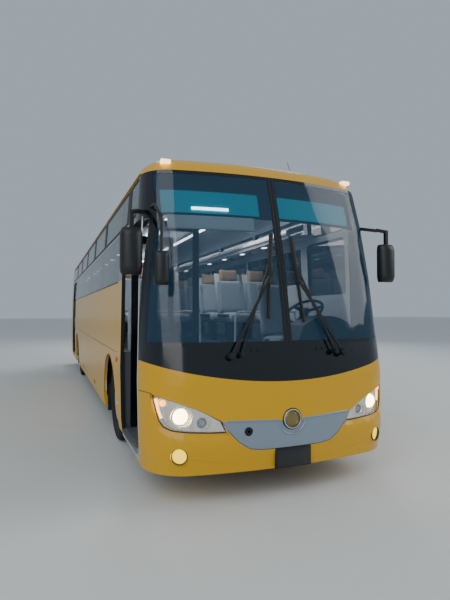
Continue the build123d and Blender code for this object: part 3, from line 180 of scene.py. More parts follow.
# Tyre rubber
RUBBER = material("tyre_rubber", "#18181A", 0.82, grain=(0.0006, 900.0))
# Soft black rubber of seals and mats
SEAL = material("seal_rubber", "#0D0D0F", 0.6)
# Wheel enamel, silver grey
WHEEL = material("wheel_enamel", "#A9ACAE", 0.38, Metallic=0.35)
# Zinc of nuts and studs
ZINC = material("zinc_plate", "#B9BAB6", 0.3, Metallic=1.0)
# Chassis enamel, black
CHASSIS = material("chassis_enamel", "#17181A", 0.55, grain=(0.0008, 60.0))
# Cast iron of engine and drums
IRON = material("cast_iron", "#4A4A48", 0.6, Metallic=0.6, grain=(0.0015, 90.0))
# Textured black plastic of mirrors, wipers and trim
PLASTIC = material("trim_plastic", "#121315", 0.45, grain=(0.0003, 700.0))
# Soft dashboard skin
DASH = material("dashboard_skin", "#1B1C1F", 0.62, grain=(0.0004, 500.0))
# Light grey moulded lining of walls, racks and ceiling
LINING = material("cabin_lining", "#BFC4C8", 0.55)
# Grey floor covering
FLOORING = material("floor_covering", "#4B4E52", 0.7, grain=(0.0005, 400.0))
# Woven seat cloth, blue grey
CLOTH = material("seat_cloth", "#9AA3AB", 0.92, Sheen_Weight=0.35, grain=(0.0012, 1100.0))
# Tan leatherette of the head rests
HIDE = material("head_rest_hide", "#A68764", 0.5)
# Silvered mirror glass
SILVERED = material("mirror_silver", "#C6D0D6", 0.02, Metallic=1.0)
# White enamel of the hand rails
RAIL = material("rail_enamel", "#E6EAEC", 0.3, Coat_Weight=0.3)
# Brushed steel of step edges and rack rails
STEEL = material("brushed_steel", "#C9CBCA", 0.3, Metallic=0.85)
# Matt black frames of the upper windows
FRAME = material("window_frame", "#0C0E10", 0.55)
# Nickel of the emblem disc
NICKEL = material("nickel_plate", "#D9DCDD", 0.16, Metallic=1.0)
# Metal of the emblem's dome behind its ring, tinted dull gold as a painted reflection of the yellow paint
# round it
DOME_PAINTED_REFLECTION = material("emblem_dome_painted_reflection", "#8A7A4C", 0.3, Metallic=0.6)
# Dark housing behind the tinted head of the screen
HOUSING = material("screen_housing", "#12242F", 0.5)
# Blank plate
PLATE = material("plate_enamel", "#15161A", 0.35, Coat_Weight=0.3)
# Roller blind cloth, with a faint painted glow that makes it look lit
BLIND_WITH_PAINTED_GLOW = material("blind_cloth_painted_glow", "#C3D6E0", 0.8, glow=("#9FC0D2", 0.18))
# Blue green band of the tinted head of the screen, with a painted glow standing in for the lit ceiling seen
# through the tint
TEAL_WITH_PAINTED_GLOW = material("screen_band", "#0B8AA0", 0.4, glow=("#0A98B2", 0.75))
# Instrument glass
DIAL = material("dial_glass", "#101318", 0.08)
# Pale studio floor
GROUND = material("studio_floor", "#D9D9D5", 0.85)


def blacken(made, factor):
    """Turns a material's colour into black where a factor is one."""
    tree = made.node_tree
    shader = tree.nodes["Principled BSDF"]
    mix = tree.nodes.new("ShaderNodeMix")
    mix.data_type = "RGBA"
    mix.inputs[6].default_value = shader.inputs["Base Color"].default_value
    mix.inputs[7].default_value = BLACK.node_tree.nodes["Principled BSDF"].inputs["Base Color"].default_value
    tree.links.new(factor, mix.inputs[0])
    tree.links.new(mix.outputs[2], shader.inputs["Base Color"])


def post_paint():
    """Coach paint that is black above the foot of the screen's posts."""
    made = PAINT.copy()
    made.name = "coach_paint_with_black_posts"
    place = add_node(made.node_tree, "ShaderNodeTexCoord")
    part = add_node(made.node_tree, "ShaderNodeSeparateXYZ", None, {0: place.outputs["Object"]})
    above = add_node(made.node_tree, "ShaderNodeMath", {"operation": "GREATER_THAN"}, {0: part.outputs["Z"]})
    above.inputs[1].default_value = POST_FOOT_Z
    blacken(made, above.outputs[0])
    return made


def screen_border():
    """Adds the black printed border to the windscreen's material: it is opaque near the glass's edges."""
    tree = SCREEN.node_tree
    shader = tree.nodes["Principled BSDF"]
    place = add_node(tree, "ShaderNodeTexCoord")
    part = add_node(tree, "ShaderNodeSeparateXYZ", None, {0: place.outputs["Object"]})

    def math_node(kind, first, second):
        made = tree.nodes.new("ShaderNodeMath")
        made.operation = kind
        for number, value in enumerate((first, second)):
            if isinstance(value, (int, float)):
                made.inputs[number].default_value = value
            else:
                tree.links.new(value, made.inputs[number])
        return made.outputs[0]

    x, y, z = part.outputs["X"], part.outputs["Y"], part.outputs["Z"]
    border = math_node("LESS_THAN", z, SCREEN_FOOT_Z + BORDER)
    border = math_node("MAXIMUM", border, math_node("GREATER_THAN", z, EAVES_Z - BORDER))
    from_middle = math_node("ABSOLUTE", x, 0)
    border = math_node("MAXIMUM", border, math_node("LESS_THAN", from_middle, DIVIDER_HALF + BORDER * 0.6))
    # the glass's side edge is two lines of y by z, each through one point
    lines = []
    for slope, through_y, through_z in ((0.0563, -5.57, SCREEN_FOOT_Z), (0.3804, -5.505, 2.5)):
        line = math_node("MULTIPLY_ADD", z, slope)
        line.node.inputs[2].default_value = through_y - slope * through_z
        lines.append(line)
    edge = math_node("MAXIMUM", *lines)
    border = math_node("MAXIMUM", border, math_node("GREATER_THAN", y, math_node("SUBTRACT", edge, BORDER)))
    blacken(SCREEN, border)
    clear = shader.inputs["Alpha"].default_value
    shown = math_node("MULTIPLY_ADD", border, 1 - clear)
    shown.node.inputs[2].default_value = clear
    tree.links.new(shown, shader.inputs["Alpha"])


def finish_node(name, *finishes, angle=30, pick=None):
    """Gives a frame node its finishes and smooth shading.

    Pick returns a finish's number for a face's centre and normal."""
    obj = nodes[name]
    obj.data.materials.clear()
    for made in finishes:
        obj.data.materials.append(made)
    for face in obj.data.polygons:
        face.use_smooth = True
        face.material_index = pick(face.center, face.normal) if pick else 0
    weld = obj.modifiers.new("weld", "WELD")
    weld.merge_threshold = 0.00005
    split = obj.modifiers.new("edges", "EDGE_SPLIT")
    split.split_angle = math.radians(angle)
    weight = obj.modifiers.new("normals", "WEIGHTED_NORMAL")
    weight.weight = 100


def piece(name, mesh, body, *finishes, slot="interior_grey", smooth=35):
    """Makes an object of a bmesh, riding on a body. Faces keep the finish numbers that they have."""
    data = bpy.data.meshes.new(name)
    bmesh.ops.remove_doubles(mesh, verts=mesh.verts, dist=0.00002)
    mesh.to_mesh(data)
    mesh.free()
    obj = bpy.data.objects.new(name, data)
    bpy.context.scene.collection.objects.link(obj)
    for made in finishes:
        data.materials.append(made)
    if smooth:
        data.shade_smooth()
        data.set_sharp_from_angle(angle=math.radians(smooth))
    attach(obj, body)
    return obj


def merge(mesh, part, place=None, finish=0):
    """Moves a bmesh part by a matrix and adds it to a mesh with one finish number."""
    if place is not None:
        bmesh.ops.transform(part, matrix=place, verts=part.verts)
        if place.determinant() < 0:
            bmesh.ops.reverse_faces(part, faces=part.faces)
    for face in part.faces:
        face.material_index = finish
    data = bpy.data.meshes.new("part")
    part.to_mesh(data)
    part.free()
    mesh.from_mesh(data)
    bpy.data.meshes.remove(data)


def box(x0, x1, y0, y1, z0, z1, bevel=0.0):
    """Block between two corners with rounded edges."""
    part = bmesh.new()
    bmesh.ops.create_cube(part, size=1)
    size = Matrix.Diagonal((abs(x1 - x0), abs(y1 - y0), abs(z1 - z0), 1))
    centre = Matrix.Translation(((x0 + x1) / 2, (y0 + y1) / 2, (z0 + z1) / 2))
    bmesh.ops.transform(part, matrix=centre @ size, verts=part.verts)
    if bevel:
        bmesh.ops.bevel(part, geom=part.edges[:], offset=bevel, segments=2, affect="EDGES", profile=0.5,
                        material=-1)
    return part


AXES = {
    "x": Matrix.Rotation(math.pi / 2, 4, "Y"),
    "y": Matrix.Rotation(-math.pi / 2, 4, "X"),
    "z": Matrix.Identity(4),
}


def round_bar(centre, axis, radius, length, sides=24, top=None, bevel=0.0):
    """Cylinder or cone centred on a point along an axis. Top is the radius at its far end."""
    part = bmesh.new()
    bmesh.ops.create_cone(part, cap_ends=True, segments=sides, radius1=radius,
                          radius2=radius if top is None else top, depth=length)
    if bevel:
        rims = [e for e in part.edges if abs(e.verts[0].co.z - e.verts[1].co.z) < 1e-6]
        bmesh.ops.bevel(part, geom=rims, offset=bevel, segments=2, affect="EDGES", profile=0.5, material=-1)
    bmesh.ops.transform(part, matrix=Matrix.Translation(centre) @ AXES[axis], verts=part.verts)
    return part


def hoop(near, far, inner, outer):
    """Outline of a flat ring for turned, between two places along the axis and two radii."""
    return [(near, outer), (far, outer), (far, inner), (near, inner), (near, outer)]


def turned(rows, centre, axis, steps=48):
    """Solid of revolution about an axis through a centre. A row is a place along the axis and a radius."""
    part = bmesh.new()
    line = [part.verts.new((radius, 0, along)) for along, radius in rows]
    edges = [part.edges.new(pair) for pair in zip(line, line[1:])]
    bmesh.ops.spin(part, geom=line + edges, cent=(0, 0, 0), axis=(0, 0, 1), angle=2 * math.pi,
                   steps=steps, use_merge=True)
    bmesh.ops.remove_doubles(part, verts=part.verts, dist=0.00001)
    bmesh.ops.recalc_face_normals(part, faces=part.faces)
    bmesh.ops.transform(part, matrix=Matrix.Translation(centre) @ AXES[axis], verts=part.verts)
    return part


def rod(points, radius, sides=10):
    """Round bar through points, with mitred bends."""
    part = bmesh.new()
    points = [Vector(p) for p in points]
    rings = []
    for i, point in enumerate(points):
        ahead = (points[min(i + 1, len(points) - 1)] - point).normalized()
        behind = (point - points[max(i - 1, 0)]).normalized()
        run = (ahead + behind).normalized()
        turn = Vector((0, 0, 1)).rotation_difference(run).to_matrix().to_4x4()
        place = Matrix.Translation(point) @ turn
        made = bmesh.ops.create_circle(part, segments=sides, radius=radius, matrix=place)
        rings.append(made["verts"])
    for pair in zip(rings, rings[1:]):
        edges = {e for ring in pair for v in ring for e in v.link_edges if e.other_vert(v) in ring}
        bmesh.ops.bridge_loops(part, edges=list(edges))
    bmesh.ops.holes_fill(part, edges=part.edges[:], sides=sides)
    bmesh.ops.recalc_face_normals(part, faces=part.faces)
    return part


def mirror(side):
    """Matrix that keeps a part on the left for 1 and mirrors it to the right for -1."""
    return Matrix.Diagonal((side, 1, 1, 1))


def section(z):
    """Set-back of the side, set-back of the nose and corner radius at a height."""
    for low, high in zip(SECTIONS, SECTIONS[1:]):
        if z <= high[0]:
            break
    share = (z - low[0]) / (high[0] - low[0])
    return [a + (b - a) * share for a, b in zip(low[1:], high[1:])]


def wall_x(z):
    """Half width of the body at a height."""
    return SIDE_X - section(z)[0]


def front_y(x, z, inset=0.0):
    """Front face of the body: a wide arc that runs into rounded corners."""
    _, nose, corner = section(z)
    arc = FRONT_ARC - nose - inset
    centre_x = wall_x(z) - corner
    if abs(x) < arc * centre_x / (arc - corner):
        return FRONT_Y + FRONT_ARC - math.sqrt(arc ** 2 - x * x)
    centre_y = FRONT_Y + FRONT_ARC - math.sqrt((arc - corner) ** 2 - centre_x ** 2)
    return centre_y - math.sqrt(max(0.0, corner ** 2 - (abs(x) - centre_x) ** 2))


def front_line(corners, inset=0.0, step=0.035):
    """Points on the front face along straight runs between corners of x and z."""
    path = []
    for (x0, z0), (x1, z1) in zip(corners, corners[1:]):
        count = max(1, round(math.hypot(x1 - x0, z1 - z0) / step))
        path += [(x0 + (x1 - x0) * i / count, z0 + (z1 - z0) * i / count) for i in range(count)]
    path.append(corners[-1])
    return [Vector((x, front_y(x, z, inset), z)) for x, z in path]


def on_wall(part):
    """Sets a part made round x = 0 on the left side's face."""
    for vert in part.verts:
        vert.co.x += wall_x(vert.co.z)
    return part


def behind_glass(x0, x1, z0, z1, depth, thick=0.006):
    """Thin plate that follows the windscreen at a depth behind its face."""
    part = bmesh.new()
    bmesh.ops.create_grid(part, x_segments=10, y_segments=4, size=0.5)
    for vert in part.verts:
        x = (x0 + x1) / 2 + vert.co.x * (x1 - x0)
        z = (z0 + z1) / 2 + vert.co.y * (z1 - z0)
        vert.co = Vector((x, front_y(x, z) + depth, z))
    bmesh.ops.recalc_face_normals(part, faces=part.faces)
    bmesh.ops.solidify(part, geom=part.faces[:], thickness=thick)
    bmesh.ops.recalc_face_normals(part, faces=part.faces)
    return part


def make_camera():
    """Camera at the photograph's place and viewing angle."""
    data = bpy.data.cameras.new("camera")
    data.sensor_width = SENSOR_MM
    data.lens = FOCAL * SENSOR_MM / IMAGE_TALL
    camera = bpy.data.objects.new("camera", data)
    turn = math.radians(TURN)
    tilt = math.radians(TILT)
    look = Vector((math.sin(turn) * math.cos(tilt), math.cos(turn) * math.cos(tilt), math.sin(tilt)))
    camera.location = EYE
    camera.rotation_mode = "QUATERNION"
    camera.rotation_quaternion = look.to_track_quat("-Z", "Y")
    bpy.context.scene.collection.objects.link(camera)
    bpy.context.scene.camera = camera


def make_studio():
    """Pale floor, soft sky, three large soft lights and a small one under the coach's ceiling."""
    world = bpy.data.worlds.new("studio")
    world.use_nodes = True
    sky = world.node_tree.nodes["Background"]
    sky.inputs["Color"].default_value = rgb("#CBDBE9")
    sky.inputs["Strength"].default_value = 0.62
    bpy.context.scene.world = world
    floor = bmesh.new()
    bmesh.ops.create_grid(floor, x_segments=1, y_segments=1, size=120)
    data = bpy.data.meshes.new("studio_floor")
    floor.to_mesh(data)
    floor.free()
    data.materials.append(GROUND)
    ground = bpy.data.objects.new("studio_floor", data)
    bpy.context.scene.collection.objects.link(ground)
    # place, aim, size, power
    lights = [
        ((-10, -15, 10), (0, -4, 1.2), 14, 1250),
        ((12, -9, 8), (0, -2, 1.2), 8, 600),
        ((7, 12, 9), (0, 2, 1.5), 9, 700),
        ((0, -3.4, 2.93), (0, -4.2, 1.2), 1.2, 30),
    ]
    for number, (place, aim, size, power) in enumerate(lights, 1):
        data = bpy.data.lights.new(f"soft_light_{number}", "AREA")
        data.shape = "SQUARE"
        data.size = size
        data.energy = power
        light = bpy.data.objects.new(data.name, data)
        light.location = place
        light.rotation_mode = "QUATERNION"
        light.rotation_quaternion = (Vector(aim) - Vector(place)).to_track_quat("-Z", "Y")
        bpy.context.scene.collection.objects.link(light)


# How near a face lies to a doorway's edge, or how far inside the outer skin it is lining
PANEL = 0.03
# Bounds of height and half width just outside the rear window's opening
REAR_WINDOW_Z = (1.75, 2.75)
REAR_WINDOW_HALF = 1.0
# Heights between the reversing lamp, the tail lamp and the indicator at the top
TAIL_LAMP_Z = 1.04
TAIL_INDICATOR_Z = 1.18


def finish_body():
    """Finishes of the body's panels, glass, lamps and running gear."""
    def wall(centre, normal):
        """Seals in the doorways, lining inside, black between the windows and paint below them."""
        across = abs(normal.x) < 0.5
        if across and centre.x < 0 and 0.4 < centre.z < DOOR_HEAD_Z + 0.02:
            jambs = (FRONT_DOOR[1], *REAR_DOOR)
            if any(abs(centre.y - y) < PANEL for y in jambs) or centre.z > DOOR_HEAD_Z - PANEL:
                return 3
        if normal.x * centre.x < 0 or abs(centre.x) < wall_x(centre.z) - PANEL:
            return 2
        return 1 if BELT_Z < centre.z < EAVES_Z else 0

    def roof(centre, normal):
        """Lining under the roof."""
        return 1 if normal.z < -0.2 else 0

    def rear(centre, normal):
        """Lining inside and black round the window."""
        if normal.y < -0.3:
            return 2
        foot, head = REAR_WINDOW_Z
        edge = foot < centre.z < head and abs(centre.x) < REAR_WINDOW_HALF and normal.y < 0.6
        return 1 if edge else 0

    def small(centre, normal):
        """Marker lamps on the roof, fog lamps in front, and three lamps one over another at the rear."""
        if centre.z > 2.9:
            return 1
        if centre.y < 0:
            return 0
        return 3 if centre.z > TAIL_INDICATOR_Z else (2 if centre.z > TAIL_LAMP_Z else 4)

    for side in SIDES:
        finish_node(f"side_wall_{side}", PAINT, BLACK, LINING, SEAL, pick=wall)
        finish_node(f"knuckle_{side}", IRON)
        for number in (1, 2):
            finish_node(f"flap_{side}_{number}", PAINT)
        for axle in ("rim_front", "rim_rear"):
            finish_node(f"{axle}_{side}", WHEEL, angle=20)
    finish_node("roof_shell", PAINT, LINING, pick=roof)
    finish_node("rear_wall", PAINT, BLACK, LINING, pick=rear)
    finish_node("front_panel", post_paint())
    finish_node("front_bumper", PAINT)
    finish_node("silver_panel", SILVER)
    finish_node("scuttle_panel", BLACK)
    finish_node("windscreens", SCREEN)
    finish_node("body_windows", TINTED)
    # Reflectors carry a faint painted glow
    finish_node("headlamp_bodies", CHROME_WITH_PAINTED_GLOW)
    finish_node("headlamp_lenses", LENS)
    finish_node("small_lamps", FOG_LIT, MARKER, RED, AMBER, CLEAR, pick=small)
    finish_node("mirrors", PLASTIC)
    finish_node("wipers", PLASTIC)
    finish_node("roof_unit", PAINT)
    finish_node("dashboard", DASH)
    finish_node("steering_wheel", DASH)
    finish_node("luggage_racks", LINING)
    finish_node("handrails", RAIL)
    finish_node("chassis_frame", CHASSIS)
    finish_node("axle_beams", CHASSIS)
    finish_node("engine_block", IRON)
    finish_node("floor_deck", FLOORING)
    finish_node("entrance_steps", FLOORING)
    finish_node("engine_lid", PAINT)
    for doorway in ("front_door", "rear_door"):
        for number in (1, 2):
            name = f"{doorway}_leaf_{number}"
            low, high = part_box(name)
            middle_y = (low.y + high.y) / 2

            def web(centre, normal, middle_y=middle_y):
                """Glass in the thin web in the middle of a leaf."""
                return 1 if abs(normal.y) > 0.9 and abs(centre.y - middle_y) < 0.006 else 0

            finish_node(name, BLACK, DOOR_GLASS, pick=web)


# Half outline of a tyre's section up to its first groove: place across and radius
TYRE_SIDE = [
    (-0.111, 0.2885), (-0.113, 0.299), (-0.124, 0.306), (-0.137, 0.33), (-0.1465, 0.37), (-0.148, 0.4),
    (-0.145, 0.432), (-0.1385, 0.47), (-0.131, 0.496), (-0.122, 0.513), (-0.1165, 0.5185),
]
# Ribs between the grooves, from and to across the tread
RIBS = [(-0.1165, -0.07), (-0.062, -0.0085), (0.0085, 0.062), (0.07, 0.1165)]
TREAD_RADIUS = 0.5205
GROOVE_RADIUS = 0.507
LUG_RADIUS = 0.509
# Radius above which cross cuts lower the tread, its crown in the middle of a rib, slope of a groove's side
LUGS_FROM = 0.515
CROWN = 0.001
FLANK = 0.0015
STUDS = 10


def tyre(x, y, lugs):
    """Tyre with four ribs between grooves. With lugs the tread is cut across as on a driven axle."""
    steps = 120
    rows = list(TYRE_SIDE)
    for number, (start, end) in enumerate(RIBS):
        if number:
            rows += [(start + FLANK, GROOVE_RADIUS), (start, TREAD_RADIUS)]
        rows += [((start + end) / 2, TREAD_RADIUS + CROWN)]
        if number < len(RIBS) - 1:
            rows += [(end, TREAD_RADIUS), (end - FLANK, GROOVE_RADIUS)]
    rows += [(-across, radius) for across, radius in reversed(TYRE_SIDE)]
    rows += [TYRE_SIDE[0]]
    part = turned(rows, (0, 0, 0), "z", steps=steps)
    if lugs:
        for vert in part.verts:
            radius = math.hypot(vert.co.x, vert.co.y)
            step = round(math.atan2(vert.co.y, vert.co.x) / (2 * math.pi / steps))
            if radius > LUGS_FROM and step % 3 == 0:
                vert.co.x *= LUG_RADIUS / radius
                vert.co.y *= LUG_RADIUS / radius
    bmesh.ops.transform(part, matrix=Matrix.Translation((x, y, HUB_Z)) @ AXES["x"], verts=part.verts)
    return part


def wheel_nuts(x, y, side):
    """Ten nuts on their studs, in front of the disc's face at x."""
    mesh = bmesh.new()
    for i in range(STUDS):
        angle = 2 * math.pi * (i + 0.5) / STUDS
        centre = Vector((x, y + STUD_CIRCLE * math.cos(angle), HUB_Z + STUD_CIRCLE * math.sin(angle)))
        nut = round_bar(centre + Vector((side * 0.014, 0, 0)), "x", 0.0165, 0.026, sides=6, bevel=0.002)
        merge(mesh, nut)
        merge(mesh, round_bar(centre + Vector((side * 0.02, 0, 0)), "x", 0.0105, 0.04, sides=12))
    return mesh


def make_wheels():
    """Treaded tyres in place of the plain ones, and wheel nuts on the discs' faces."""
    front_disc = 0.072
    rear_disc = -0.073
    for word, side in SIDES.items():
        mesh = bmesh.new()
        merge(mesh, tyre(side * WHEEL_X, FRONT_AXLE_Y, False))
        made = piece(f"tread_tyre_front_{word}", mesh, f"wheel_front_{word}", RUBBER, slot="tyre", smooth=28)
        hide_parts(f"tyre_front_{word}")
        mesh = bmesh.new()
        for x in (WHEEL_X, WHEEL_X - TWIN_PITCH):
            merge(mesh, tyre(side * x, REAR_AXLE_Y, True))
        made = piece(f"tread_tyres_rear_{word}", mesh, f"wheels_rear_{word}", RUBBER, slot="tyre", smooth=28)
        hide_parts(f"tyres_rear_{word}")
        mesh = wheel_nuts(side * (WHEEL_X + front_disc), FRONT_AXLE_Y, side)
        piece(f"wheel_nuts_front_{word}", mesh, f"wheel_front_{word}", ZINC, slot="rim")
        mesh = wheel_nuts(side * (WHEEL_X + rear_disc), REAR_AXLE_Y, side)
        piece(f"wheel_nuts_rear_{word}", mesh, f"wheels_rear_{word}", ZINC, slot="rim")


# Bowls of a head lamp: distance from the middle, height, radius, depth of the glass behind the cover
MAIN_BEAM = (0.974, 0.755, 0.084, 0.05)
PROJECTOR_BOWL = (0.798, 0.698, 0.056, 0.045)
INDICATOR = (1.112, 0.868, 0.036, 0.03)
COVER_INSET = 0.036


def lamp_bowl(mesh, bowl, side, share, finish):
    """Chrome ring and domed glass of a bowl. Share is the glass's part of the bowl's radius."""
    x, z, radius, deep = bowl
    centre = (side * x, front_y(x, z, COVER_INSET + deep), z)
    ring = [(-0.012, radius * 0.97), (0.004, radius * 0.97), (0.004, radius * 0.82), (-0.012, radius * 0.8),
            (-0.012, radius * 0.97)]
    merge(mesh, turned(ring, centre, "y", steps=40), None, 0)
    edge = radius * share
    glass = [(-0.02, 0.0001), (-0.018, radius * 0.3), (-0.01, edge * 0.75), (0.004, edge), (0.01, edge),
             (0.01, 0.0001)]
    merge(mesh, turned(glass, centre, "y", steps=40), None, finish)
    return centre


def make_lamps():
    """Projector glasses, rings and bulbs inside the head lamps, and their strips at the outer ends."""
    for word, side in SIDES.items():
        mesh = bmesh.new()
        lamp_bowl(mesh, MAIN_BEAM, side, 0.8, 1)
        lamp_bowl(mesh, INDICATOR, side, 0.8, 2)
        centre = lamp_bowl(mesh, PROJECTOR_BOWL, side, 0.62, 3)
        inner = PROJECTOR_BOWL[2] * 0.62
        outer = PROJECTOR_BOWL[2] * 0.82
        shade = [(-0.004, outer), (-0.006, inner), (0.004, inner), (0.004, outer), (-0.004, outer)]
        merge(mesh, turned(shade, centre, "y", steps=40), None, 4)
        strip = [(side * x, z) for x, z in ((1.165, 0.9), (1.152, 0.85), (1.14, 0.795), (1.12, 0.74))]
        merge(mesh, rod(front_line(strip, 0.06), 0.011), None, 5)
        # Rings in reflector chrome, with its faint painted glow
        piece(f"lamp_glasses_{word}", mesh, "coach", CHROME_WITH_PAINTED_GLOW, LIT, AMBER_LIT, PROJECTOR, SEAL, MARKER,
              slot="lamp_chrome", smooth=40)


# Outlines on the front as distances from the middle and heights: the head lamp from its top corner,
# the joint from there round to the doorway, the silver panel's lower edge, and two edges of the bumper
LAMP_EDGE = [(1.187, 0.938), (1.101, 0.913), (0.999, 0.878), (0.878, 0.836), (0.762, 0.778), (0.65, 0.711),
             (0.606, 0.618), (0.716, 0.62), (0.834, 0.627), (0.946, 0.636), (1.051, 0.65), (1.114, 0.678),
             (1.148, 0.73), (1.164, 0.8), (1.179, 0.872), (1.187, 0.938)]
CORNER_JOINT = [(1.187, 0.938), (1.205, 0.948), (1.222, 0.952), (1.237, 0.953), (1.25, 0.953),
                (1.26, 0.953), (1.267, 0.953), (1.271, 0.953)]
SILVER_EDGE = [(0.6, 0.64), (0.5, 0.535), (0.4, 0.47), (0.27, 0.452), (0, 0.452)]
BUMPER_EDGES = ([(1.163, 0.534), (1.058, 0.485)], [(0.94, 0.425), (0.784, 0.391), (0.617, 0.363)])


def make_seams():
    """Dark joints round the lamps and between the panels, raised edges of bumper and silver panel."""
    halo_radius = 0.135
    mesh = bmesh.new()
    for side in SIDES.values():
        flip = mirror(side)
        merge(mesh, rod(front_line(LAMP_EDGE, 0.024), 0.0045, 8), flip, 0)
        for line in (CORNER_JOINT, SILVER_EDGE):
            merge(mesh, rod(front_line(line, 0.0015), 0.003, 8), flip, 0)
        for line in BUMPER_EDGES:
            merge(mesh, rod(front_line(line, -0.0005), 0.0025, 8), flip, 1)
        top = [(0.6 - 0.046 * i, 0.712 - 0.002 * i) for i in range(11)]
        turns = [math.radians(-90 + 92 * i / 16) for i in range(17)]
        halo = [(halo_radius * math.cos(a), EMBLEM_Z + halo_radius * math.sin(a)) for a in turns]
        for line in (top, halo):
            merge(mesh, rod(front_line(line, 0.006), 0.011, 12), flip, 2)
    piece("front_seams", mesh, "coach", SEAL, PAINT, SILVER, slot="body_paint")


def make_emblem():
    """Plain domed disc with a ring in the recess of the silver panel."""
    centre = (0, front_y(0, EMBLEM_Z), EMBLEM_Z)
    ring = [(-0.006, 0.088), (-0.012, 0.084), (-0.012, 0.078), (-0.004, 0.074), (0.012, 0.074),
            (0.012, 0.088), (-0.006, 0.088)]
    dome = [(-0.012, 0.0001), (-0.011, 0.03), (-0.007, 0.05), (0.0, 0.066), (0.012, 0.0745), (0.016, 0.0745),
            (0.016, 0.0001)]
    gap = hoop(-0.001, 0.012, 0.0875, 0.095)
    mesh = bmesh.new()
    for finish, rows in enumerate((ring, dome, gap)):
        merge(mesh, turned(rows, centre, "y", steps=64), None, finish)
    # The dome's gold tint is a painted reflection of the paint round the emblem
    piece("emblem_disc", mesh, "coach", NICKEL, DOME_PAINTED_REFLECTION, SEAL, slot="lamp_chrome", smooth=40)


def make_plate():
    """Blank plates in dark holders, under the silver panel and over the engine lid's lower part."""
    mesh = bmesh.new()
    y = front_y(0.0, 0.4)
    merge(mesh, box(-0.165, 0.19, y - 0.014, y + 0.01, 0.275, 0.45, 0.004), None, 0)
    merge(mesh, box(-0.15, 0.175, y - 0.017, y - 0.012, 0.288, 0.437, 0.0015), None, 1)
    merge(mesh, box(-0.26, 0.26, 5.995, 6.012, 0.62, 0.74, 0.004), None, 0)
    merge(mesh, box(-0.25, 0.25, 6.01, 6.014, 0.63, 0.73, 0.0015), None, 1)
    piece("number_plates", mesh, "coach", PLASTIC, PLATE, slot="mirror_black")


# Padded pieces: swelling and cell size of the cloth, frames that it settles in
PAD_SWELL = 0.025
PAD_CELLS = 0.03
CLOTH_FRAMES = 20
# Width of a passenger's seat, and lean of its back in degrees
SEAT_WIDE = 0.42
BACK_LEAN = -15


def cushion(size, swell, cells):
    """Sewn pad of three given sizes, centred on the origin, blown up as cloth under pressure."""
    part = bmesh.new()
    bmesh.ops.create_cube(part, size=1)
    shrink = Matrix.Diagonal((size[0] - swell, size[1] - swell, size[2] - swell, 1))
    bmesh.ops.transform(part, matrix=shrink, verts=part.verts)
    bmesh.ops.bevel(part, geom=part.edges[:], offset=min(size) * 0.22, segments=3, affect="EDGES",
                    profile=0.5, material=-1)
    data = bpy.data.meshes.new("pad")
    part.to_mesh(data)
    part.free()
    pad = bpy.data.objects.new("pad", data)
    bpy.context.scene.collection.objects.link(pad)
    rebuilt = pad.modifiers.new("remesh", "REMESH")
    rebuilt.mode = "VOXEL"
    rebuilt.voxel_size = cells
    graph = bpy.context.evaluated_depsgraph_get()
    start = bpy.data.meshes.new_from_object(pad.evaluated_get(graph))
    pad.modifiers.clear()
    pad.data = start
    before = [vert.co.copy() for vert in start.vertices]
    cloth = pad.modifiers.new("cloth", "CLOTH")
    cloth.settings.use_pressure = True
    cloth.settings.uniform_pressure_force = 4
    cloth.settings.effector_weights.gravity = 0
    cloth.point_cache.frame_start = 1
    cloth.point_cache.frame_end = CLOTH_FRAMES
    for step in range(1, CLOTH_FRAMES + 1):
        bpy.context.scene.frame_set(step)
    graph = bpy.context.evaluated_depsgraph_get()
    blown = bpy.data.meshes.new_from_object(pad.evaluated_get(graph))
    pad.modifiers.clear()
    bpy.context.scene.frame_set(1)
    for vert, place in zip(blown.vertices, before):
        move = vert.co - place
        if move.length > swell:
            vert.co = place + move.normalized() * swell
    start = blown
    part = bmesh.new()
    part.from_mesh(start)
    bpy.data.objects.remove(pad)
    half = Vector(size) / 2
    for vert in part.verts:
        for axis in range(3):
            vert.co[axis] = max(-half[axis], min(half[axis], vert.co[axis]))
    for _ in range(2):
        bmesh.ops.smooth_vert(part, verts=part.verts, factor=0.5, use_axis_x=True, use_axis_y=True,
                              use_axis_z=True)
    return part


def copies(source, places):
    """Mesh with a copy of a bmesh part at each place."""
    mesh = bmesh.new()
    data = bpy.data.meshes.new("copy")
    source.to_mesh(data)
    source.free()
    for place in places:
        part = bmesh.new()
        part.from_mesh(data)
        merge(mesh, part, place)
    bpy.data.meshes.remove(data)
    return mesh


def pads(name, pad, places, finish, shift, lean):
    """Padded pieces of one shape at all places, shifted and leaning back by an angle in degrees."""
    turn = Matrix.Rotation(math.radians(lean), 4, "X")
    mesh = copies(pad, [Matrix.Translation(place + Vector(shift)) @ turn for place in places])
    made = piece(name, mesh, "coach", finish, slot="seat_cloth", smooth=0)
    made.data.shade_smooth()


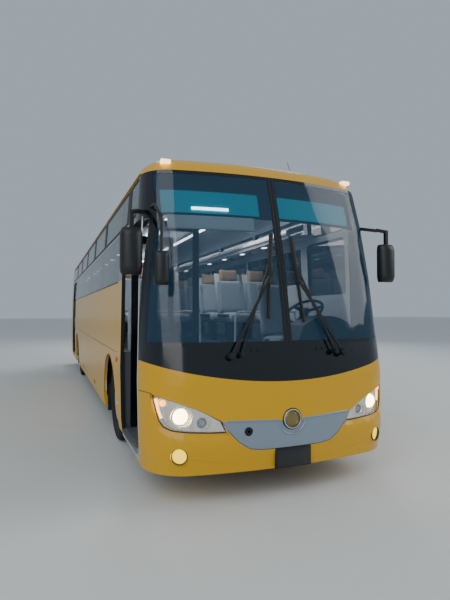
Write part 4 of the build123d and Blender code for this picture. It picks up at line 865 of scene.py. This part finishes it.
def make_seats():
    """Seats in pairs: frames, blown cushions and leaning backs with head rests, and the driver's seat."""
    places = {}
    for word, side in SIDES.items():
        rows = [Vector((side * SEAT_X, FIRST_ROW_Y + SEAT_PITCH * i, FLOOR_Z)) for i in range(ROWS[word])]
        places[word] = [row + Vector((dx, 0, 0)) for row in rows for dx in (-0.225, 0.225)]
        pads(f"seat_cushions_{word}", cushion((SEAT_WIDE, 0.47, 0.13), PAD_SWELL, PAD_CELLS), places[word],
             CLOTH, (0, -0.025, 0.365), 2)
        pads(f"seat_backs_{word}", cushion((SEAT_WIDE, 0.1, 0.56), 0.022, PAD_CELLS), places[word],
             CLOTH, (0, 0.268, 0.66), BACK_LEAN)
        pads(f"head_rests_{word}", cushion((0.3, 0.075, 0.2), 0.012, 0.022), places[word],
             HIDE, (0, 0.372, 0.975), BACK_LEAN - 1)
    make_seat_frames(places)
    pads("driver_cushion", cushion((0.48, 0.5, 0.13), PAD_SWELL, PAD_CELLS), [DRIVER],
         CLOTH, (0, -0.03, 0.39), 0)
    pads("driver_back", cushion((0.48, 0.11, 0.7), PAD_SWELL, PAD_CELLS), [DRIVER],
         CLOTH, (0, 0.285, 0.77), -11)


def make_seat_frames(places):
    """Shells and pans of the seats, legs and arm rests of the pairs, and the driver's pedestal."""
    mesh = bmesh.new()
    lean = Matrix.Rotation(math.radians(BACK_LEAN), 4, "X")
    for place in places["left"] + places["right"]:
        shell = box(-0.2, 0.2, -0.008, 0.008, -0.27, 0.36, 0.006)
        merge(mesh, shell, Matrix.Translation(place + Vector((0, 0.338, 0.66))) @ lean, 0)
        pan = box(-0.19, 0.19, -0.2, 0.2, 0.29, 0.305, 0.005)
        merge(mesh, pan, Matrix.Translation(place), 1)
    for word, side in SIDES.items():
        for i in range(ROWS[word]):
            pair = Vector((side * SEAT_X, FIRST_ROW_Y + SEAT_PITCH * i, FLOOR_Z))
            for dx in (-0.3, 0.3):
                leg = box(dx - 0.02, dx + 0.02, -0.1, 0.18, 0.0, 0.3, 0.004)
                merge(mesh, leg, Matrix.Translation(pair), 1)
            for dx in (-0.43, 0.43):
                arm_rest = box(dx - 0.018, dx + 0.018, -0.15, 0.24, 0.37, 0.41, 0.008)
                merge(mesh, arm_rest, Matrix.Translation(pair), 2)
    merge(mesh, box(-0.15, 0.15, -0.15, 0.2, 0.0, 0.33, 0.01), Matrix.Translation(DRIVER), 2)
    frames = piece("seat_frames", mesh, "coach", LINING, CHASSIS, PLASTIC, slot="interior_grey")
    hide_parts("seats")


def make_cabin():
    """Blind and tinted screen bands, both with a painted glow, a dark destination box with a lit strip,
    ceiling strips and mirror glasses.
    """
    mesh = bmesh.new()
    # Tinted bands with a painted glow for the lit ceiling behind them
    merge(mesh, behind_glass(-1.06, -0.124, 2.56, 2.78, 0.09), None, 0)
    merge(mesh, behind_glass(0.08, 0.965, 2.56, 2.78, 0.09), None, 0)
    merge(mesh, behind_glass(-1.12, 1.12, 2.54, 2.97, 0.13), None, 2)
    merge(mesh, behind_glass(-0.79, -0.44, 2.592, 2.617, 0.078), None, 1)
    piece("screen_bands", mesh, "coach", TEAL_WITH_PAINTED_GLOW, STRIP, HOUSING, slot="interior_grey")
    mesh = bmesh.new()
    # Blind cloth with a faint painted glow
    merge(mesh, behind_glass(-1.02, -0.2, 2.40, 2.53, 0.07), None, 0)
    merge(mesh, rod(front_line([(-1.02, 2.402), (-0.2, 2.402)], 0.069), 0.006), None, 1)
    merge(mesh, behind_glass(-0.65, -0.57, 2.375, 2.402, 0.068), None, 1)
    piece("front_blind", mesh, "coach", BLIND_WITH_PAINTED_GLOW, LINING, slot="interior_grey")
    mesh = bmesh.new()
    for x in (-0.38, 0.38):
        merge(mesh, box(x - 0.03, x + 0.03, -4.6, 5.6, 3.0, 3.015, 0.004), None, 0)
    merge(mesh, box(-0.9, -0.8, -4.4, -3.93, 2.552, 2.57, 0.003), None, 0)
    piece("ceiling_strips", mesh, "coach", STRIP, slot="lamp_white")
    mesh = bmesh.new()
    for x in (MIRROR_X, -MIRROR_X):
        merge(mesh, box(x - 0.08, x + 0.08, -5.608, -5.603, 1.985, 2.335, 0.002))
    x = RAMP_MIRROR_X
    merge(mesh, box(x - 0.052, x + 0.052, -5.874, -5.869, 1.875, 2.125, 0.002))
    piece("mirror_glasses", mesh, "coach", SILVERED, slot="mirror_black")


# Feet, middles and heads of the wiper blades as distances from the middle and heights
BLADES = {
    -1: ((0.183, 1.585), (0.142, 1.99), (0.085, 2.367)),
    1: ((0.174, 1.547), (0.142, 1.99), (0.126, 2.343)),
}


def make_screen_trim():
    """Divider strips, wiper pivots, blades, washer jets and the thin arm of the ramp mirror."""
    mesh = bmesh.new()
    steps = 14
    heights = [SCREEN_FOOT_Z + (EAVES_Z - SCREEN_FOOT_Z) * i / steps for i in range(steps + 1)]
    for x in (-0.0185, 0.0185):
        for ends in zip(heights, heights[1:]):
            merge(mesh, rod([(x, front_y(x, z) - 0.0005, z) for z in ends], 0.0035, 6))
    for x, z, radius in ((0.565, 1.265, 0.034), (0.475, 1.275, 0.024)):
        for side in SIDES.values():
            cap = [(0.0, radius), (-0.02, radius), (-0.03, radius * 0.8), (-0.034, 0.0001)]
            merge(mesh, turned(cap, (side * x, front_y(x, z) - 0.046, z), "y", steps=24))
    for x in (0.3, 0.36, -0.3, -0.36):
        y = front_y(x, 1.305)
        merge(mesh, box(x - 0.012, x + 0.012, y - 0.012, y + 0.006, 1.297, 1.313, 0.003))
    for side, (foot, middle, head) in BLADES.items():
        for ends, radius in (((foot, middle), 0.012), ((middle, head), 0.019)):
            line = [(side * x, z) for x, z in ends]
            merge(mesh, rod(front_line(line, -0.012 - radius, 0.1), radius))
    arm = [(-1.15, -5.44, 2.6), (-1.145, -5.7, 2.53), (-1.16, -5.885, 2.38), (-1.16, -5.9, 2.13)]
    merge(mesh, rod(arm, 0.008))
    piece("screen_trim", mesh, "coach", SEAL, slot="mirror_black")


def make_front_rings():
    """Bezels of the fog lamps and the ring round the towing hole."""
    mesh = bmesh.new()
    bezel = [(-0.003, 0.069), (-0.006, 0.067), (-0.006, 0.064), (0.008, 0.061), (0.02, 0.061), (0.02, 0.065),
             (-0.0005, 0.069), (-0.003, 0.069)]
    for side in SIDES.values():
        lean = Matrix.Rotation(side * math.radians(22), 4, "Z")
        place = Matrix.Translation((side * 1.0, front_y(1.0, 0.44), 0.44))
        merge(mesh, turned(bezel, (0, 0, 0), "y", steps=48), place @ lean)
    tow = [(-0.003, 0.037), (-0.006, 0.034), (-0.003, 0.031), (0.012, 0.031), (0.012, 0.037), (-0.003, 0.037)]
    merge(mesh, turned(tow, (-0.414, front_y(-0.414, 0.618), 0.618), "y", steps=40))
    piece("front_rings", mesh, "coach", PLASTIC, slot="mirror_black", smooth=40)


def make_side_trim():
    """Marker lamps, frames of the upper windows, gutters, belt, crease and arch edges, first step's edge."""
    markers = bmesh.new()
    strips = bmesh.new()
    frames = bmesh.new()
    for side in SIDES.values():
        flip = mirror(side)
        merge(markers, on_wall(box(-0.002, 0.016, -4.23, -4.11, 1.07, 1.118, 0.005)), flip, 0)
        merge(markers, on_wall(box(-0.002, 0.008, -4.235, -4.165, 0.585, 0.615, 0.003)), flip, 1)
        merge(markers, on_wall(box(-0.002, 0.012, 5.3, 5.4, 0.735, 0.765, 0.004)), flip, 0)
        last = REAR_DOOR[1] if side > 0 else REAR_DOOR[0] - 0.11
        belt = box(-0.006, 0.0055, WINDOWS_Y, last, BELT_Z - 0.012, BELT_Z - 0.002, 0.002)
        merge(strips, on_wall(belt), flip, 0)
        gutter = box(-0.004, 0.012, -5.2, 5.5, EAVES_Z + 0.004, EAVES_Z + 0.018, 0.003)
        merge(strips, on_wall(gutter), flip, 1)
        for axle in (FRONT_AXLE_Y, REAR_AXLE_Y):
            turns = [math.pi * i / 24 for i in range(25)]
            heights = [ARCH_Z + ARCH_RADIUS * math.sin(a) for a in turns]
            path = [(wall_x(z) - 0.003, axle - ARCH_RADIUS * math.cos(a), z) for a, z in zip(turns, heights)]
            merge(strips, rod(path, 0.008, 8), flip, 1)
        before_door = REAR_DOOR[0] - 0.02
        behind_door = before_door if side > 0 else REAR_DOOR[1] + 0.02
        for ends in ((WINDOWS_Y, before_door), (behind_door, 5.6)):
            crease = [(wall_x(1.18) - 0.0015, y, 1.188 + 0.003 * y) for y in ends]
            merge(strips, rod(crease, 0.0035, 8), flip, 0)
        for y in UPPER_POSTS:
            merge(frames, on_wall(box(-0.01, 0.003, y - 0.1, y + 0.1, 2.565, 2.935)), flip, 0)
        for z0, z1 in ((2.562, 2.59), (2.912, 2.938)):
            merge(frames, on_wall(box(-0.01, 0.0035, *UPPER_PANES, z0, z1)), flip, 0)
    door_side = mirror(-1)
    step = (FRONT_DOOR[0] + 0.04, FRONT_DOOR[1] - 0.04)
    merge(strips, box(1.2, 1.27, *step, 0.36, 0.366, 0.002), door_side, 2)
    merge(strips, on_wall(box(-0.006, 0.004, *step, 0.3, 0.362, 0.002)), door_side, 2)
    heights = [0.4 + 0.21 * i for i in range(11)]
    post = [(wall_x(z) - 0.002, FRONT_DOOR[0] - 0.004, z) for z in heights]
    merge(strips, rod(post, 0.006, 8), door_side, 2)
    piece("side_markers", markers, "coach", AMBER, CLEAR, slot="lamp_white")
    piece("side_strips", strips, "coach", SEAL, PAINT, STEEL, slot="mirror_black")
    piece("window_frames", frames, "coach", FRAME, slot="black_gloss")


def make_latches():
    """Latch with a handle on each luggage flap."""
    for word, side in SIDES.items():
        for number, (first, last) in enumerate(FLAPS, 1):
            y = (first + last) / 2
            mesh = bmesh.new()
            plate = box(-0.006, 0.001, y - 0.068, y + 0.068, 0.433, 0.497, 0.001)
            merge(mesh, on_wall(plate), mirror(side), 0)
            handle = box(-0.004, 0.003, y - 0.03, y + 0.03, 0.455, 0.475, 0.001)
            merge(mesh, on_wall(handle), mirror(side), 1)
            body = f"flap_{word}_{number}"
            piece(f"latch_{word}_{number}", mesh, body, SEAL, PLASTIC, slot="mirror_black")


def make_rear_trim():
    """Lamp bezels, reflectors, lid handle, screen behind the lid's slots and mud flaps."""
    mesh = bmesh.new()
    for side in SIDES.values():
        flip = mirror(side)
        for z0, z1 in ((0.9, 1.03), (1.045, 1.175), (1.19, 1.32)):
            for bar_z in (z0 - 0.007, z1 + 0.007):
                merge(mesh, box(1.002, 1.138, 5.9, 5.972, bar_z - 0.006, bar_z + 0.006, 0.003), flip, 0)
        merge(mesh, box(0.3, 0.62, 6.0, 6.012, 0.335, 0.395, 0.004), flip, 1)
    merge(mesh, box(-0.14, 0.14, 5.998, 6.016, 0.78, 0.8, 0.005), None, 0)
    piece("rear_trim", mesh, "coach", PLASTIC, RED, slot="mirror_black")
    mesh = bmesh.new()
    wires = 40
    half = 0.62
    for i in range(wires):
        x = -half + 2 * half * i / (wires - 1)
        merge(mesh, box(x - 0.004, x + 0.004, 5.945, 5.952, 0.73, 1.34))
    piece("lid_screen", mesh, "engine_lid", CHASSIS, slot="chassis_black")
    mesh = bmesh.new()
    for side in SIDES.values():
        merge(mesh, box(0.62, 1.2, 3.66, 3.672, 0.24, 0.8, 0.003), mirror(side))
        merge(mesh, box(0.86, 1.2, -2.86, -2.85, 0.24, 0.62, 0.003), mirror(side))
    piece("mud_flaps", mesh, "coach", SEAL, slot="mirror_black")


def make_underbody():
    """Propeller shaft, air tanks, exhaust box with its pipes, track rod and brake drums."""
    mesh = bmesh.new()
    shaft = [(0, REAR_AXLE_Y + 0.15, HUB_Z), (0.06, 3.75, 0.56), (0.2, 4.04, 0.6)]
    merge(mesh, rod(shaft, 0.045, 16), None, 0)
    for y in (2.0, 2.3):
        merge(mesh, round_bar((0.0, y, 0.98), "x", 0.095, 0.62, 28, bevel=0.02), None, 1)
    merge(mesh, round_bar((-0.62, 4.95, 0.52), "y", 0.12, 0.7, 28, bevel=0.02), None, 0)
    merge(mesh, rod([(-0.3, 4.5, 0.6), (-0.62, 4.58, 0.52)], 0.035, 14), None, 0)
    merge(mesh, rod([(-0.62, 5.28, 0.5), (-0.62, 5.6, 0.42), (-0.62, 5.86, 0.36)], 0.04, 16), None, 0)
    track_y = FRONT_AXLE_Y + 0.19
    merge(mesh, rod([(-0.72, track_y, 0.45), (0.72, track_y, 0.45)], 0.018, 12), None, 1)
    piece("under_parts", mesh, "coach", IRON, CHASSIS, slot="chassis_black")
    drum = [(-0.02, 0.0602), (-0.02, 0.17), (0.0, 0.205), (0.03, 0.215), (0.13, 0.215), (0.14, 0.205),
            (0.145, 0.0602), (-0.02, 0.0602)]
    for word, side in SIDES.items():
        mesh = bmesh.new()
        place = Matrix.Translation((side * 0.925, FRONT_AXLE_Y, HUB_Z)) @ AXES["x"]
        if side < 0:
            place = place @ Matrix.Rotation(math.pi, 4, "X")
        merge(mesh, turned(drum, (0, 0, 0), "z", 48), place)
        piece(f"brake_drum_front_{word}", mesh, f"wheel_front_{word}", IRON, slot="rim")


def fan(mesh, centre):
    """Guard rings and spokes over five blades and a hub, under the guard's height."""
    guard = Matrix.Translation(centre)
    for radius in (0.06, 0.1, 0.14, 0.18):
        wire = hoop(-0.002, 0.002, radius - 0.003, radius + 0.003)
        merge(mesh, turned(wire, centre, "z", 36))
    for i in range(8):
        spoke = box(0.0, 0.188, -0.002, 0.002, -0.0035, -0.0005)
        merge(mesh, spoke, guard @ Matrix.Rotation(math.pi * i / 4, 4, "Z"))
    pitch = Matrix.Rotation(math.radians(24), 4, "X")
    for i in range(5):
        blade = box(0.03, 0.165, -0.03, 0.03, -0.001, 0.001)
        turn = Matrix.Translation((0, 0, -0.02)) @ Matrix.Rotation(2 * math.pi * i / 5, 4, "Z")
        merge(mesh, blade, guard @ turn @ pitch)
    merge(mesh, round_bar(centre - Vector((0, 0, 0.017)), "z", 0.04, 0.024, 24))


def make_roof_trim():
    """Fans in the wells of the roof unit and rims of the hatches."""
    mesh = bmesh.new()
    guard_z = ROOF_Z + 0.157
    for y in (1.3, 2.05, 2.8):
        for x in (-0.27, 0.27):
            fan(mesh, Vector((x, y, guard_z)))
    rim_z = ROOF_Z + 0.045
    corners = [(-0.31, -0.36), (0.31, -0.36), (0.31, 0.36), (-0.31, 0.36)]
    for y in (-2.6, 4.3):
        for a, b in zip(corners, corners[1:] + corners[:1]):
            merge(mesh, rod([(a[0], y + a[1], rim_z), (b[0], y + b[1], rim_z)], 0.008, 8))
    piece("roof_grilles", mesh, "coach", PLASTIC, slot="mirror_black")


def make_cabin_trim():
    """Aisle mat, rails, nozzles and lamps of the racks, instruments, lever and pedals."""
    mesh = bmesh.new()
    merge(mesh, box(-0.2, 0.2, -4.0, 5.6, FLOOR_Z + 0.001, FLOOR_Z + 0.006, 0.002))
    piece("aisle_mat", mesh, "coach", SEAL, slot="interior_grey")
    mesh = bmesh.new()
    for side in SIDES.values():
        flip = mirror(side)
        merge(mesh, box(0.775, 0.79, -4.5, 5.6, 2.61, 2.675, 0.005), flip, 0)
        for i in range(ROWS["left"]):
            y = FIRST_ROW_Y + SEAT_PITCH * i
            for dx in (-0.1, 0.1):
                merge(mesh, round_bar((0.93 + dx, y, 2.585), "z", 0.028, 0.02, 16), flip, 1)
            merge(mesh, box(0.9, 0.96, y + 0.05, y + 0.13, 2.575, 2.585, 0.003), flip, 2)
    piece("rack_trim", mesh, "coach", STEEL, PLASTIC, STRIP, slot="interior_grey")
    mesh = bmesh.new()
    x = DRIVER.x
    merge(mesh, box(x - 0.22, x + 0.22, -5.374, -5.352, 1.38, 1.53, 0.008), None, 1)
    dial = [(0.0, 0.0001), (0.0, 0.045), (0.006, 0.05), (0.012, 0.05), (0.012, 0.0001)]
    for dx in (-0.12, 0.0, 0.12):
        merge(mesh, turned(dial, (x + dx, -5.35, 1.455), "y", 24), None, 2)
    merge(mesh, rod([(x - 0.4, -5.0, 0.9), (x - 0.4, -5.02, 1.3)], 0.011, 10), None, 0)
    merge(mesh, round_bar((x - 0.4, -5.02, 1.32), "z", 0.028, 0.05, 16, bevel=0.01), None, 0)
    for dx in (-0.1, 0.02, 0.14):
        pedal = box(-0.035, 0.035, -0.008, 0.008, -0.06, 0.06, 0.003)
        place = Matrix.Translation((x + dx, -5.28, 1.0)) @ Matrix.Rotation(math.radians(-30), 4, "X")
        merge(mesh, pedal, place, 0)
    merge(mesh, box(-0.1, 0.35, -5.36, -5.352, 1.2, 1.3, 0.004), None, 1)
    piece("driver_controls", mesh, "coach", PLASTIC, DIAL, SILVERED, slot="dash_black")


def make_antenna():
    """Short rod on a cone near the roof's front edge."""
    mesh = bmesh.new()
    foot = Vector((0.52, -5.1, 3.13))
    merge(mesh, round_bar(foot, "z", 0.022, 0.03, top=0.012))
    merge(mesh, rod([foot, foot + Vector((0, 0.1, 0.22))], 0.003, 8))
    piece("antenna", mesh, "coach", PLASTIC, slot="mirror_black")


make_camera()
make_studio()
screen_border()
finish_body()
make_wheels()
make_lamps()
make_seams()
make_emblem()
make_plate()
make_seats()
make_cabin()
make_antenna()
make_screen_trim()
make_front_rings()
make_side_trim()
make_latches()
make_rear_trim()
make_underbody()
make_roof_trim()
make_cabin_trim()
